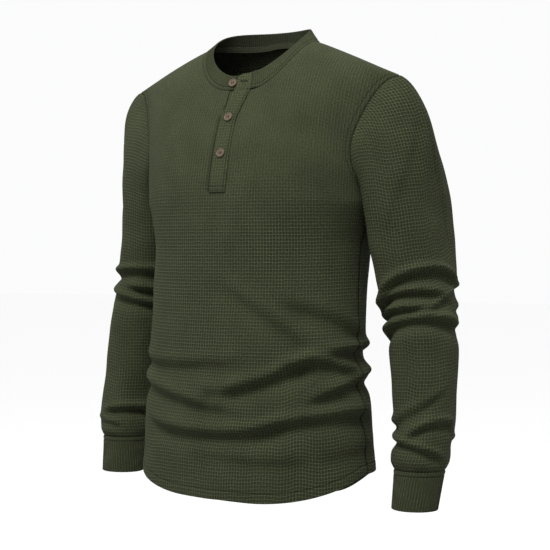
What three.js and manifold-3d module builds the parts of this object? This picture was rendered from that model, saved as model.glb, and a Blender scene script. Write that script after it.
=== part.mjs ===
// Long-sleeved henley shirt in waffle knit, filled out as if worn, with nobody inside.
// Millimetres, +Z up. The front faces -Y and the wearer's left is +X. The origin is the middle of the
// neck at the height of the high shoulder points, where the wearer carries the shirt.
import * as THREE from "three";
import Module from "manifold-3d";

const { PI, sin, cos, abs, max, min, round, hypot, exp } = Math;
const vec = (x, y, z) => new THREE.Vector3(x, y, z);

// Cloth and seams
const CLOTH = 2.0;
const RIB_CLOTH = 2.2;
const SEAM_GAP = 0.38;
const CORNER_GAP = 0.8;

// Body of the shirt
const ARMPIT_Z = -242;
const HEM_FRONT_Z = -675;
const HEM_SIDE_Z = -634;
const HEM_BACK_Z = -690;
const HEM_SPREAD = 66;
const HEM_TILT = 0.025;
const RIGHT_ARM_LIFT = 16;
const FRONT_CROWN = 1.45;
const BACK_CROWN = 2.4;
const SHOULDER_CROWN = 2.4;
const SHOULDER_Y = -5;
const NECK_HALF = 94;
const SHOULDER_HALF = 233;
const SHOULDER_DRAW = 0.93;
const SHOULDER_ACROSS = SHOULDER_HALF / SHOULDER_DRAW;
const NECK_ACROSS = NECK_HALF / SHOULDER_DRAW;

// Rings of the body, from the hem to the armpit. half is the half width, front and back are the depths
// from the ring's middle, middle is the Y of that middle, and square is the superellipse power.
const BODY_RINGS = [
  { z: -720, half: 196, front: 126, back: 122, middle: -20, square: 2.15 },
  { z: -640, half: 190, front: 122, back: 119, middle: -22, square: 2.15 },
  { z: -560, half: 185, front: 119, back: 115, middle: -24, square: 2.15 },
  { z: -470, half: 178, front: 116, back: 112, middle: -25, square: 2.15 },
  { z: -390, half: 173, front: 117, back: 114, middle: -19, square: 2.2 },
  { z: -310, half: 171, front: 124, back: 121, middle: -9, square: 2.25 },
  { z: -274, half: 178, front: 129, back: 122, middle: -4, square: 2.3 },
  { z: -242, half: 188, front: 132, back: 122, middle: -1, square: 2.3 },
];

// Armhole: how far the curve comes in from the side, and where it turns up to the shoulder point
const ARMHOLE_FRONT_IN = 189;
const ARMHOLE_BACK_IN = 199;
const ARMHOLE_SCOOP = 0.34;
const ARMHOLE_RISE = 0.1;
const ARMHOLE_TOP = 0.88;
const ARMHOLE_STATIONS = [0, 0.04, 0.1, 0.19, 0.32, 0.48, 0.64, 0.78, 0.9, 1];

// Neckline: how far up the crown its lowest point lies, front and back
const NECK_FRONT_CROWN = 0.515;
const NECK_BACK_CROWN = 0.7;
const NECK_STEPS = 5;

// Placket
const SLOT_HALF = 11;
const PLACKET_END_Z = -228;
const UPPER_PLACKET_COLUMNS = [-14, -5, 5, 14];
const UNDER_PLACKET_COLUMNS = [-15, -4, 5, 13];
const PLACKET_OPEN_SHIFT = 15;
const PLACKET_OPEN_Z = -128;
const PLACKET_TOP_Z = -62;

// Sleeve rings, from the upper arm to the cuff seam, for the left arm; the right arm is its mirror.
const ARM_RINGS = [
  { z: -272, x: 232.5, y: 31.5, wide: 46.5, deep: 69.5, square: 2.5, lean: 0.18 },
  { z: -305, x: 234.5, y: 33, wide: 49, deep: 67, square: 2.4, lean: 0.17 },
  { z: -348, x: 240.5, y: 34, wide: 51, deep: 62, square: 2.25, lean: 0.13 },
  { z: -395, x: 249.5, y: 29, wide: 49, deep: 56.5, square: 2.15, lean: 0.08 },
  { z: -442, x: 255.5, y: 25.5, wide: 47.5, deep: 54.5, square: 2.1, lean: 0.04 },
  { z: -486, x: 259, y: 24, wide: 46.5, deep: 52.5, square: 2.1, lean: 0 },
  { z: -521, x: 262, y: 18, wide: 44.5, deep: 49.5, square: 2.1, lean: 0 },
  { z: -555, x: 265, y: 12, wide: 43, deep: 48, square: 2.1, lean: 0 },
  { z: -590, x: 266, y: 3.5, wide: 41, deep: 45, square: 2.1, lean: 0 },
  { z: -616, x: 264.5, y: 0.5, wide: 40, deep: 43.5, square: 2.1, lean: 0 },
  { z: -628, x: 264.5, y: -2.5, wide: 35.5, deep: 35, square: 2.1, lean: 0 },
];
const SLEEVE_HEAD_REACH = 0.82;
const HEAD_FORWARD = 0.15;
const HEAD_BACK = 0.7;
const CUFF = { length: 56, topWide: 35.5, topDeep: 35, endWide: 32.5, endDeep: 30, endX: 262.5, endY: -15 };
const CUFF_RIBS_PER_SIDE = 3;
const CUFF_RIB = 0.7;

// Neckband: its top edge is an ellipse seen from above, rising from the front to the back
const BAND = { half: 78, depth: 63, middle: -10, backZ: 28, drop: 80, rise: 2.3 };
const BAND_RIB = 0.35;
const BAND_RIB_PITCH = 3.3;
const BAND_LAP_LIFT = 3.1;
const BAND_UNDER_END = 9;
const BAND_OVER_END = 1;
const BAND_CORNER = 0.45;
const BAND_RIBS_PER_STATION = 4;

// Buttons: four holes, with a raised rim
const BUTTON = { radius: 6.8, thick: 2.6, rim: 1.3, dish: 0.7, hole: 0.95, holeFromMiddle: 1.7, gap: 0.3 };
const BUTTON_TOP_ACROSS = -7.4;
const BUTTON_MIDDLE_Z = -116;
const BUTTON_BOTTOM_Z = -170;
const BUTTON_COLOR = "#4a3526";

// Folds of the body. turn is the angle round the body in degrees (0 front middle, 90 the left side seam,
// 180 back middle), z the height, bow how far the middle of the fold stands above its ends, deep how far
// it goes in, wide the half width across it, and lip the ridge that stands out above and below.
const BODY_FOLDS = [
  { turn0: 14, z0: -516, turn1: 92, z1: -502, bow: 30, deep: 8, wide: 15, lip: 0.7 },
  { turn0: -92, z0: -520, turn1: 26, z1: -512, bow: -22, deep: 7, wide: 14, lip: 0.7 },
  { turn0: -84, z0: -566, turn1: 86, z1: -548, bow: -36, deep: 8, wide: 15, lip: 0.7 },
  { turn0: -96, z0: -468, turn1: 16, z1: -486, bow: -9, deep: 5, wide: 12, lip: 0.7 },
  { turn0: 58, z0: -468, turn1: 112, z1: -446, bow: 2, deep: 6, wide: 13, lip: 0.7 },
  { turn0: 50, z0: -536, turn1: 112, z1: -522, bow: 6, deep: 5, wide: 11, lip: 0.7 },
  { turn0: -30, z0: -400, turn1: 70, z1: -448, bow: 12, deep: 3.5, wide: 20, lip: 0.4 },
  { turn0: 96, z0: -505, turn1: 200, z1: -482, bow: -20, deep: 7, wide: 14, lip: 0.7 },
  { turn0: 130, z0: -552, turn1: 262, z1: -545, bow: -18, deep: 7, wide: 14, lip: 0.7 },
  { turn0: 160, z0: -455, turn1: 268, z1: -472, bow: 16, deep: 6, wide: 13, lip: 0.7 },
  { turn0: 110, z0: -425, turn1: 215, z1: -432, bow: -14, deep: 4.5, wide: 13, lip: 0.6 },
];

// Folds of the left sleeve, then the right. turn is the angle round the arm in degrees: 0 faces the body,
// 90 the front, 180 outwards, 270 the back.
const LEFT_SLEEVE_FOLDS = [
  { turn0: 20, z0: -388, turn1: 240, z1: -352, bow: 26, deep: 9, wide: 11, lip: 0.75 },
  { turn0: 10, z0: -404, turn1: 196, z1: -396, bow: -4, deep: 7, wide: 9, lip: 0.75 },
  { turn0: 0, z0: -430, turn1: 236, z1: -418, bow: 8, deep: 9, wide: 10, lip: 0.75 },
  { turn0: 190, z0: -380, turn1: 350, z1: -372, bow: -14, deep: 7, wide: 12, lip: 0.7 },
  { turn0: 84, z0: -566, turn1: 215, z1: -552, bow: 14, deep: 5.5, wide: 10, lip: 0.7 },
  { turn0: 30, z0: -594, turn1: 170, z1: -610, bow: 6, deep: 5, wide: 8, lip: 0.7 },
  { turn0: 180, z0: -590, turn1: 340, z1: -580, bow: -8, deep: 5, wide: 9, lip: 0.7 },
  { turn0: -40, z0: -575, turn1: 60, z1: -570, bow: 4, deep: 4, wide: 8, lip: 0.7 },
];
const RIGHT_SLEEVE_FOLDS = [
  { turn0: 10, z0: -360, turn1: 205, z1: -371, bow: 8, deep: 7, wide: 10, lip: 0.6 },
  { turn0: 0, z0: -410, turn1: 200, z1: -388, bow: -6, deep: 7.5, wide: 10, lip: 0.6 },
  { turn0: 10, z0: -392, turn1: 92, z1: -380, bow: 2, deep: 5, wide: 8, lip: 0.7 },
  { turn0: 190, z0: -372, turn1: 350, z1: -392, bow: -10, deep: 7, wide: 12, lip: 0.7 },
  { turn0: 20, z0: -572, turn1: 180, z1: -574, bow: 4, deep: 5.5, wide: 9, lip: 0.7 },
  { turn0: 80, z0: -598, turn1: 200, z1: -590, bow: -4, deep: 4.5, wide: 8, lip: 0.7 },
  { turn0: 190, z0: -560, turn1: 350, z1: -590, bow: 6, deep: 5, wide: 9, lip: 0.7 },
];

// Rows of the mesh, as shares of the way up from the hem to the armpit, close together over the folds
const BODY_ROWS = [
  0, 0.042, 0.08, 0.115, 0.15, 0.182, 0.213, 0.243, 0.272, 0.302, 0.333, 0.363, 0.393, 0.424, 0.456, 0.49, 0.53,
  0.58, 0.65, 0.74, 0.83, 0.92, 1,
];
const SHOULDER_COLUMNS = [0.42, 0.56, 0.7, 0.85, 1];
const SLEEVE_HEAD_ROWS = [0, 0.1, 0.26, 0.46, 0.72, 1];
const SLEEVE_ROWS_Z = [
  -272, -295, -318, -335, -346, -357, -368, -379, -389, -398, -407, -416, -425, -434, -446, -464, -490, -518, -540,
  -551, -561, -571, -581, -591, -600, -609, -618, -628,
];

const clamp01 = (t) => max(0, min(1, t));
const smooth = (t) => clamp01(t) ** 2 * (3 - 2 * clamp01(t));
const mix = (a, b, t) => a + (b - a) * t;
const radians = (degrees) => (degrees * PI) / 180;

// One value of a table at a height, smoothly between the table's rows
function fromTable(table, key, z) {
  const rows = [...table].sort((a, b) => a.z - b.z);
  const last = rows.length - 1;
  let i = 0;
  while (i < last - 1 && rows[i + 1].z < z) i++;
  const [p, q] = [rows[i], rows[i + 1]];
  const before = rows[max(0, i - 1)];
  const after = rows[min(last, i + 2)];
  const run = q.z - p.z;
  const t = clamp01((z - p.z) / run);
  const leave = ((q[key] - before[key]) / (q.z - before.z)) * run;
  const arrive = ((after[key] - p[key]) / (after.z - p.z)) * run;
  return hermite(p[key], leave, q[key], arrive, t);
}

function hermite(from, leave, to, arrive, t) {
  const t2 = t * t;
  const t3 = t2 * t;
  return from * (2 * t3 - 3 * t2 + 1) + leave * (t3 - 2 * t2 + t) + to * (3 * t2 - 2 * t3) + arrive * (t3 - t2);
}

// How far out a set of folds moves the cloth at an angle and height
function foldHeight(folds, turn, z) {
  let height = 0;
  for (const fold of folds) {
    for (const lap of [-360, 0, 360]) {
      const along = (turn + lap - fold.turn0) / (fold.turn1 - fold.turn0);
      if (along <= 0 || along >= 1) continue;
      const path = mix(fold.z0, fold.z1, along) + fold.bow * 4 * along * (1 - along);
      const across = (z - path) / fold.wide;
      const fade = smooth(min(along, 1 - along) * 4);
      const lips = fold.lip * (exp(-((across - 1.7) ** 2)) + exp(-((across + 1.7) ** 2)));
      height += fade * fold.deep * (lips * 0.6 - exp(-across * across));
    }
  }
  return height;
}

// A quarter of a body ring, from the front or back middle round to the side, by length along the cloth
const quarters = new Map();
function quarterRing(face, z) {
  const key = `${face} ${z.toFixed(3)}`;
  if (quarters.has(key)) return quarters.get(key);
  const half = fromTable(BODY_RINGS, "half", z);
  const depth = fromTable(BODY_RINGS, face < 0 ? "front" : "back", z);
  const middle = fromTable(BODY_RINGS, "middle", z);
  const power = fromTable(BODY_RINGS, "square", z);
  const steps = 60;
  const points = [];
  for (let k = 0; k <= steps; k++) {
    const a = ((PI / 2) * k) / steps;
    const reach = ((sin(a) / half) ** power + (abs(cos(a)) / depth) ** power) ** (-1 / power);
    const point = { x: reach * sin(a), y: middle + face * reach * cos(a), at: 0 };
    if (k > 0) {
      const before = points[k - 1];
      point.at = before.at + hypot(point.x - before.x, point.y - before.y);
    }
    points.push(point);
  }
  const made = { points, length: points[steps].at };
  quarters.set(key, made);
  return made;
}

function onQuarter(face, z, across) {
  const { points, length } = quarterRing(face, z);
  const at = min(abs(across), length);
  let k = 1;
  while (k < points.length - 1 && points[k].at < at) k++;
  const [p, q] = [points[k - 1], points[k]];
  const t = (at - p.at) / (q.at - p.at);
  return { x: (across < 0 ? -1 : 1) * mix(p.x, q.x, t), y: mix(p.y, q.y, t), share: at / length };
}

// Height of the shoulder line at a distance from the middle
function shoulderZ(x) {
  const t = abs(x) - NECK_HALF;
  return t < 0 ? -0.36 * t - 0.001 * t * t : -0.36 * t - 0.06 * t * (1 - exp(-t / 25));
}

// A point on the body's middle surface. face is -1 for the front and 1 for the back, and across is the
// distance from the middle along the cloth. Below the armpits crown is 0 and z is the height. Above them
// crown goes from 0 to 1 at the shoulder line, and the cloth rolls over inwards.
function bodyPoint(face, across, z, crown) {
  if (crown <= 0) {
    const ring = onQuarter(face, z, across);
    return vec(ring.x, ring.y, z);
  }
  const ring = onQuarter(face, ARMPIT_Z, across);
  const topX = across * SHOULDER_DRAW;
  const middlePower = face < 0 ? FRONT_CROWN : BACK_CROWN;
  const power = mix(middlePower, SHOULDER_CROWN, smooth(abs(across) / SHOULDER_ACROSS));
  const a = (PI / 2) * min(1, crown);
  const reach = (sin(a) ** power + max(0, cos(a)) ** power) ** (-1 / power);
  const up = reach * sin(a);
  const out = crown >= 1 ? 0 : reach * cos(a);
  return vec(
    mix(ring.x, topX, smooth(up)),
    SHOULDER_Y + (ring.y - SHOULDER_Y) * out,
    ARMPIT_Z + (shoulderZ(topX) - ARMPIT_Z) * up,
  );
}

// The outer edge of a body panel above the armpit
function armholeAcross(face, crown) {
  const armpit = quarterRing(face, ARMPIT_Z).length;
  const inner = face < 0 ? ARMHOLE_FRONT_IN : ARMHOLE_BACK_IN;
  const scoop = clamp01(1 - crown / ARMHOLE_SCOOP) ** 2.4;
  const rise = clamp01((crown - ARMHOLE_RISE) / (ARMHOLE_TOP - ARMHOLE_RISE)) ** 1.15;
  return inner + (armpit - inner) * scoop + (SHOULDER_ACROSS - inner) * rise;
}

// Height of the shirt-tail hem at an angle round the body. It hangs a little lower on the wearer's left.
function hemZ(turn) {
  const t = abs(((turn + 540) % 360) - 180);
  const middle = t < 90 ? HEM_FRONT_Z : HEM_BACK_Z;
  const fromSide = hypot(abs(90 - t) / HEM_SPREAD, 0.12) - 0.12;
  const drop = t < 90 ? 1 - (1 - clamp01(fromSide)) ** 2 : smooth(fromSide);
  return mix(HEM_SIDE_Z, middle, drop) - HEM_TILT * 190 * sin(radians(turn));
}

// How far the unbuttoned top of the upper placket stands over to the wearer's left
const placketShift = (z) => PLACKET_OPEN_SHIFT * smooth((z - PLACKET_OPEN_Z) / (PLACKET_TOP_Z - PLACKET_OPEN_Z));

// A place on a wall of cloth: its middle, the way out, and the cloth on each side of the middle
const place = (at, half) => ({ at, half, normal: vec(0, 0, 0), out: half, into: half });

function between(a, b, t) {
  const offset = a.normal.clone().multiplyScalar(a.out).lerp(b.normal.clone().multiplyScalar(b.out), t);
  const half = mix(a.half, b.half, t);
  const out = offset.length();
  return { at: a.at.clone().lerp(b.at, t), half, normal: offset.normalize(), out, into: out };
}

// The same place moved out of the cloth by a distance, for a piece of its own thickness
function raised(from, level, half) {
  const spread = from.out / from.half;
  const at = from.at.clone().addScaledVector(from.normal, level * spread);
  return { at, half, normal: from.normal.clone(), out: half * spread, into: half * spread };
}

// Ways out for a grid of places, from the cells round each place
function setNormals(grid, closed) {
  const columns = grid[0].length;
  for (const s of grid.flat()) s.normal = vec(0, 0, 0);
  for (let j = 0; j < grid.length - 1; j++)
    for (let i = 0; i < (closed ? columns : columns - 1); i++) {
      const corners = [grid[j][i], grid[j][(i + 1) % columns], grid[j + 1][(i + 1) % columns], grid[j + 1][i]];
      const across = corners[2].at.clone().sub(corners[0].at);
      const cell = across.cross(corners[3].at.clone().sub(corners[1].at));
      for (const corner of corners) corner.normal.add(cell);
    }
  for (const s of grid.flat()) s.normal.normalize();
}

function geometryOf(points, faces) {
  const geometry = new THREE.BufferGeometry();
  geometry.setAttribute("position", new THREE.Float32BufferAttribute(points, 3));
  geometry.setIndex(faces);
  geometry.computeVertexNormals();
  return geometry;
}

// A plain wall of cloth on a grid of places, leaving out the cells that keep refuses
function wallGeometry(grid, { closed = false, keep = () => true } = {}) {
  const rows = grid.length;
  const columns = grid[0].length;
  const spans = closed ? columns : columns - 1;
  const points = [];
  const faces = [];
  const numbers = new Map();
  const vertex = (j, i, inside) => {
    const column = i % columns;
    const key = (j * columns + column) * 2 + inside;
    if (!numbers.has(key)) {
      const { at, normal, out, into } = grid[j][column];
      const p = at.clone().addScaledVector(normal, inside ? -into : out);
      numbers.set(key, points.length / 3);
      points.push(p.x, p.y, p.z);
    }
    return numbers.get(key);
  };
  const quad = (a, b, c, d) => faces.push(a, b, c, a, c, d);
  const kept = (j, i) => {
    const column = closed ? (i + columns) % columns : i;
    return j >= 0 && j < rows - 1 && column >= 0 && column < spans && keep(j, column);
  };
  for (let j = 0; j < rows - 1; j++)
    for (let i = 0; i < spans; i++) {
      if (!kept(j, i)) continue;
      const corners = (inside) => [
        vertex(j, i, inside),
        vertex(j, i + 1, inside),
        vertex(j + 1, i + 1, inside),
        vertex(j + 1, i, inside),
      ];
      const [a, b, c, d] = corners(0);
      const [e, f, g, h] = corners(1);
      quad(a, b, c, d);
      quad(e, h, g, f);
      if (!kept(j - 1, i)) quad(a, e, f, b);
      if (!kept(j + 1, i)) quad(c, g, h, d);
      if (!kept(j, i - 1)) quad(d, h, e, a);
      if (!kept(j, i + 1)) quad(b, f, g, c);
    }
  return geometryOf(points, faces);
}

// A ribbed wall on stations of places, bottom to top. ribs holds the number of ribs from each station to
// the next. Ribs stand on the outside and the inside is plain.
function ribbedGeometry(stations, ribs, height, closed) {
  const rows = stations[0].length;
  const points = [];
  const faces = [];
  const add = (p) => points.push(p.x, p.y, p.z) / 3 - 1;
  const quad = (a, b, c, d) => faces.push(a, b, c, a, c, d);
  const outside = (s) => s.at.clone().addScaledVector(s.normal, s.out);
  const inner = stations.map((station) => station.map((s) => add(s.at.clone().addScaledVector(s.normal, -s.into))));
  const outer = ribs.map((count, k) => {
    const [from, to] = [stations[k], stations[(k + 1) % stations.length]];
    const columns = [];
    for (let c = 0; c < 2 * count; c++)
      columns.push(
        from.map((s, r) => {
          const share = c / (2 * count);
          const normal = s.normal.clone().lerp(to[r].normal, share);
          return add(outside(s).lerp(outside(to[r]), share).addScaledVector(normal, c % 2 ? height : 0));
        }),
      );
    return columns;
  });
  if (!closed) outer.push([stations[stations.length - 1].map((s) => add(outside(s)))]);
  ribs.forEach((count, k) => {
    const next = (k + 1) % stations.length;
    const columns = [...outer[k], outer[next][0]];
    const [here, there] = [inner[k], inner[next]];
    for (let r = 0; r < rows - 1; r++) {
      for (let c = 0; c < 2 * count; c++)
        quad(columns[c][r], columns[c + 1][r], columns[c + 1][r + 1], columns[c][r + 1]);
      quad(here[r], here[r + 1], there[r + 1], there[r]);
    }
    for (const r of [0, rows - 1]) {
      const face = (a, b, c) => (r === 0 ? faces.push(a, b, c) : faces.push(a, c, b));
      for (let c = 0; c < 2 * count; c++)
        face(columns[c + 1][r], columns[c][r], c < count ? here[r] : there[r]);
      face(columns[count][r], here[r], there[r]);
    }
  });
  if (!closed)
    for (let r = 0; r < rows - 1; r++) {
      const [first, last] = [outer[0][0], outer[outer.length - 1][0]];
      const [start, end] = [inner[0], inner[inner.length - 1]];
      quad(first[r], first[r + 1], start[r + 1], start[r]);
      quad(last[r], end[r], end[r + 1], last[r + 1]);
    }
  return geometryOf(points, faces);
}

// Sews pieces along a line of shared places. near and far hold the places of each side at one point of the
// line, within and beyond points of their cloth next to it. Both sides get one mitred edge plane there and
// are moved off the line, to stand a gap apart.
function sew(line, closed) {
  const count = line.length;
  const points = line.map(({ near }) => near[0].at.clone());
  const plans = line.map(({ near, far, within, beyond }, k) => {
    const before = points[closed ? (k + count - 1) % count : max(0, k - 1)];
    const after = points[closed ? (k + 1) % count : min(count - 1, k + 1)];
    const nearOut = near.reduce((sum, s) => sum.add(s.normal), vec(0, 0, 0)).normalize();
    const farOut = far.reduce((sum, s) => sum.add(s.normal), vec(0, 0, 0)).normalize();
    const mitre = nearOut.clone().add(farOut).normalize();
    const along = after.clone().sub(before);
    const toFar = along.cross(mitre).normalize();
    if (toFar.dot(beyond.clone().sub(within)) < 0) toFar.negate();
    return { mitre, toFar, spread: 1 / max(0.6, mitre.dot(nearOut)) };
  });
  line.forEach(({ near, far }, k) => {
    const { mitre, toFar, spread } = plans[k];
    const half = (near.length > 1 ? CORNER_GAP : SEAM_GAP) / 2;
    for (const [places, way] of [
      [near, -1],
      [far, 1],
    ])
      for (const s of places) {
        s.at.addScaledVector(toFar, way * half);
        s.normal = mitre.clone();
        s.out = s.half * spread;
        s.into = s.half * spread;
      }
  });
}

// Columns of the body panels, from the edge of the placket slot past the neck to the side
const neckShare = (NECK_ACROSS - SLOT_HALF) / (SHOULDER_ACROSS - SLOT_HALF);
const neckColumns = Array.from({ length: NECK_STEPS }, (_, k) => neckShare * sin(((PI / 2) * (k + 1)) / NECK_STEPS));
const sideColumns = [0, ...neckColumns, ...SHOULDER_COLUMNS];
const halfCount = sideColumns.length;
const lastColumn = 2 * halfCount - 1;
const armpitRow = BODY_ROWS.length - 1;
const slotRow = armpitRow + 2;
const topRow = armpitRow + ARMHOLE_STATIONS.length - 1;

function crownTop(face, share) {
  const s = share / neckShare;
  const lowest = face < 0 ? NECK_FRONT_CROWN : NECK_BACK_CROWN;
  return s >= 1 ? 1 : mix(lowest, 1, 1 - Math.sqrt(1 - s * s));
}

// A panel's places, row by row from the hem. Columns run from the wearer's right to left.
function panelGrid(face) {
  const grid = [];
  for (let j = 0; j <= topRow; j++) {
    const station = j > armpitRow ? ARMHOLE_STATIONS[j - armpitRow] : 0;
    const row = [];
    for (let i = 0; i <= lastColumn; i++) {
      const side = i < halfCount ? -1 : 1;
      const share = sideColumns[i < halfCount ? halfCount - 1 - i : i - halfCount];
      const crown = station * crownTop(face, share);
      const turn = (face < 0 ? 90 : -90) * side * share + (face < 0 ? 0 : 180);
      const z = mix(hemZ(turn), ARMPIT_Z, j > armpitRow ? 1 : BODY_ROWS[j]);
      const edge = j > armpitRow ? armholeAcross(face, station) : quarterRing(face, z).length;
      let across = side * mix(SLOT_HALF, NECK_ACROSS, min(1, share / neckShare));
      if (share > neckShare) across = side * mix(NECK_ACROSS, edge, (share - neckShare) / (1 - neckShare));
      if (face < 0 && side > 0) {
        const height = bodyPoint(face, across, z, crown).z;
        across += placketShift(height) * clamp01(1 - share / neckShare);
      }
      row.push({ ...place(bodyPoint(face, across, z, crown), CLOTH / 2), across, turn });
    }
    grid.push(row);
  }
  return face < 0 ? grid : grid.map((row) => row.reverse());
}

function crease(grid, closed, folds, settle) {
  setNormals(grid, closed);
  grid.forEach((row, j) =>
    row.forEach((s) => s.at.addScaledVector(s.normal, settle(j) * foldHeight(folds, s.turn, s.at.z))),
  );
}

const front = panelGrid(-1);
const back = panelGrid(1);
crease(front, false, BODY_FOLDS, () => 1);
crease(back, false, BODY_FOLDS, () => 1);

// The back's columns run from the wearer's left to right. Front and back meet at the side and shoulder seams.
const panelSeams = [];
for (const side of [-1, 1]) {
  const frontEdge = side > 0 ? lastColumn : 0;
  const sideSeam = [];
  for (let j = 0; j <= armpitRow; j++) {
    const [near, far] = [front[j][frontEdge], back[j][lastColumn - frontEdge]];
    const [within, beyond] = [front[j][frontEdge - side].at, back[j][lastColumn - frontEdge + side].at];
    sideSeam.push({ near: [near], far: [far], within, beyond });
  }
  const shoulderSeam = [];
  for (let k = NECK_STEPS; k < halfCount; k++) {
    const column = side > 0 ? halfCount + k : halfCount - 1 - k;
    const [near, far] = [front[topRow][column], back[topRow][lastColumn - column]];
    const [within, beyond] = [front[topRow - 1][column].at, back[topRow - 1][lastColumn - column].at];
    shoulderSeam.push({ near: [near], far: [far], within, beyond });
  }
  panelSeams.push(sideSeam, shoulderSeam);
}
for (const { near, far } of panelSeams.flat()) {
  near[0].at.lerp(far[0].at, 0.5);
  far[0].at.copy(near[0].at);
}
setNormals(front, false);
setNormals(back, false);

// Stations round an armhole: underarm, up the front, shoulder, down the back
function armholeLine(side) {
  const column = side > 0 ? { front: lastColumn, back: 0 } : { front: 0, back: lastColumn };
  const inFrom = side > 0 ? -1 : 1;
  const line = [];
  for (let j = armpitRow; j < topRow; j++)
    line.push({ near: [front[j][column.front]], within: front[j][column.front + inFrom].at.clone() });
  for (let j = topRow; j > armpitRow; j--)
    line.push({ near: [back[j][column.back]], within: back[j][column.back - inFrom].at.clone() });
  line[0].near.push(back[armpitRow][column.back]);
  line[topRow - armpitRow].near.push(front[topRow][column.front]);
  return line;
}

// A sleeve's places, from the cuff seam up to the armhole
function sleeveGrid(side, line, folds) {
  const top = SLEEVE_ROWS_Z[0];
  const ringPoint = (turn, z) => {
    const value = (key) => fromTable(ARM_RINGS, key, z);
    const a = radians(turn);
    const power = value("square");
    const reach = ((abs(cos(a)) / value("wide")) ** power + (abs(sin(a)) / value("deep")) ** power) ** (-1 / power);
    const forward = reach * sin(a);
    const lift = side < 0 ? RIGHT_ARM_LIFT * clamp01((top - z) / 366) : 0;
    return vec(side * (value("x") - reach * cos(a) - value("lean") * forward), value("y") - forward, z + lift);
  };
  const columns = line.map(({ near }, k) => {
    const turn = (360 * k) / line.length;
    const from = near[0].at;
    const to = ringPoint(turn, top);
    const outward = ((1 - cos(radians(turn))) / 2) ** 1.5;
    const underarm = exp(-((min(turn, 360 - turn) / 45) ** 2));
    const sideways = -sin(radians(turn)) * (turn < 180 ? HEAD_FORWARD : HEAD_BACK);
    const leave = vec(side * (mix(0.45, 0.92, outward) + 0.55 * underarm), sideways, -mix(0.85, 0.4, outward));
    const stretch = from.distanceTo(to) * SLEEVE_HEAD_REACH;
    leave.setLength(stretch);
    const arrive = vec(side * 0.05, 0.04, -1).setLength(stretch);
    const head = SLEEVE_HEAD_ROWS.map((t) =>
      vec(
        hermite(from.x, leave.x, to.x, arrive.x, t),
        hermite(from.y, leave.y, to.y, arrive.y, t),
        hermite(from.z, leave.z, to.z, arrive.z, t),
      ),
    );
    return { turn, points: [...head, ...SLEEVE_ROWS_Z.slice(1).map((z) => ringPoint(turn, z))] };
  });
  const rows = columns[0].points.length;
  const order = side > 0 ? columns : [columns[0], ...columns.slice(1).reverse()];
  const grid = [];
  for (let j = rows - 1; j >= 0; j--)
    grid.push(order.map(({ turn, points }) => ({ ...place(points[j].clone(), CLOTH / 2), turn })));
  crease(grid, true, folds, (j) => smooth(j / 2) * smooth((rows - 1 - j) / 3));
  setNormals(grid, true);
  return grid;
}

// A cuff's stations, one under each column of its sleeve
function cuffStations(side, sleeve) {
  const seamZ = SLEEVE_ROWS_Z[SLEEVE_ROWS_Z.length - 1];
  const seamX = fromTable(ARM_RINGS, "x", seamZ);
  const seamY = fromTable(ARM_RINGS, "y", seamZ);
  const lift = side < 0 ? RIGHT_ARM_LIFT : 0;
  const stations = sleeve[0].map((above) => {
    const a = radians(above.turn);
    const level = (share) => {
      const x = mix(seamX, CUFF.endX, share) - mix(CUFF.topWide, CUFF.endWide, share) * cos(a);
      const y = mix(seamY, CUFF.endY, share) - mix(CUFF.topDeep, CUFF.endDeep, share) * sin(a);
      return place(vec(side * x, y, seamZ + lift - CUFF.length * share), RIB_CLOTH / 2);
    };
    return [level(1), level(0.5), place(above.at.clone(), RIB_CLOTH / 2)];
  });
  setNormals(
    [0, 1, 2].map((r) => stations.map((station) => station[r])),
    true,
  );
  return stations;
}

const armholes = { left: armholeLine(1), right: armholeLine(-1) };
const sleeves = {
  left: sleeveGrid(1, armholes.left, LEFT_SLEEVE_FOLDS),
  right: sleeveGrid(-1, armholes.right, RIGHT_SLEEVE_FOLDS),
};
const cuffs = { left: cuffStations(1, sleeves.left), right: cuffStations(-1, sleeves.right) };

// The neckline, from the wearer's left of the placket round the back to its right
const neckPlace = (grid, column) => {
  const outwards = column < halfCount ? -1 : 1;
  return { near: [grid[topRow][column]], within: grid[topRow - 1][column + outwards].at.clone() };
};
const neckLine = [];
for (let k = 0; k <= NECK_STEPS; k++) neckLine.push(neckPlace(front, halfCount + k));
for (let k = NECK_STEPS - 1; k >= 0; k--) neckLine.push(neckPlace(back, halfCount - 1 - k));
for (let k = 0; k < NECK_STEPS; k++) neckLine.push(neckPlace(back, halfCount + k));
for (let k = NECK_STEPS; k >= 0; k--) neckLine.push(neckPlace(front, halfCount - 1 - k));
neckLine[NECK_STEPS].near.push(back[topRow][halfCount - 1 - NECK_STEPS]);
neckLine[neckLine.length - 1 - NECK_STEPS].near.push(back[topRow][halfCount + NECK_STEPS]);

// The neckband stands on the neckline and leans in to its own top edge
const band = neckLine.map(({ near }) => {
  const seam = near[0].at;
  const turn = Math.atan2(seam.x / BAND.half, (BAND.middle - seam.y) / BAND.depth);
  const topZ = BAND.backZ - BAND.drop * ((1 + cos(turn)) / 2) ** BAND.rise;
  const top = vec(BAND.half * sin(turn), BAND.middle - BAND.depth * cos(turn), topZ);
  return [0, 0.5, 1].map((t) => place(seam.clone().lerp(top, t), RIB_CLOTH / 2));
});
setNormals(
  [0, 1, 2].map((r) => band.map((station) => station[r])),
  false,
);

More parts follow.
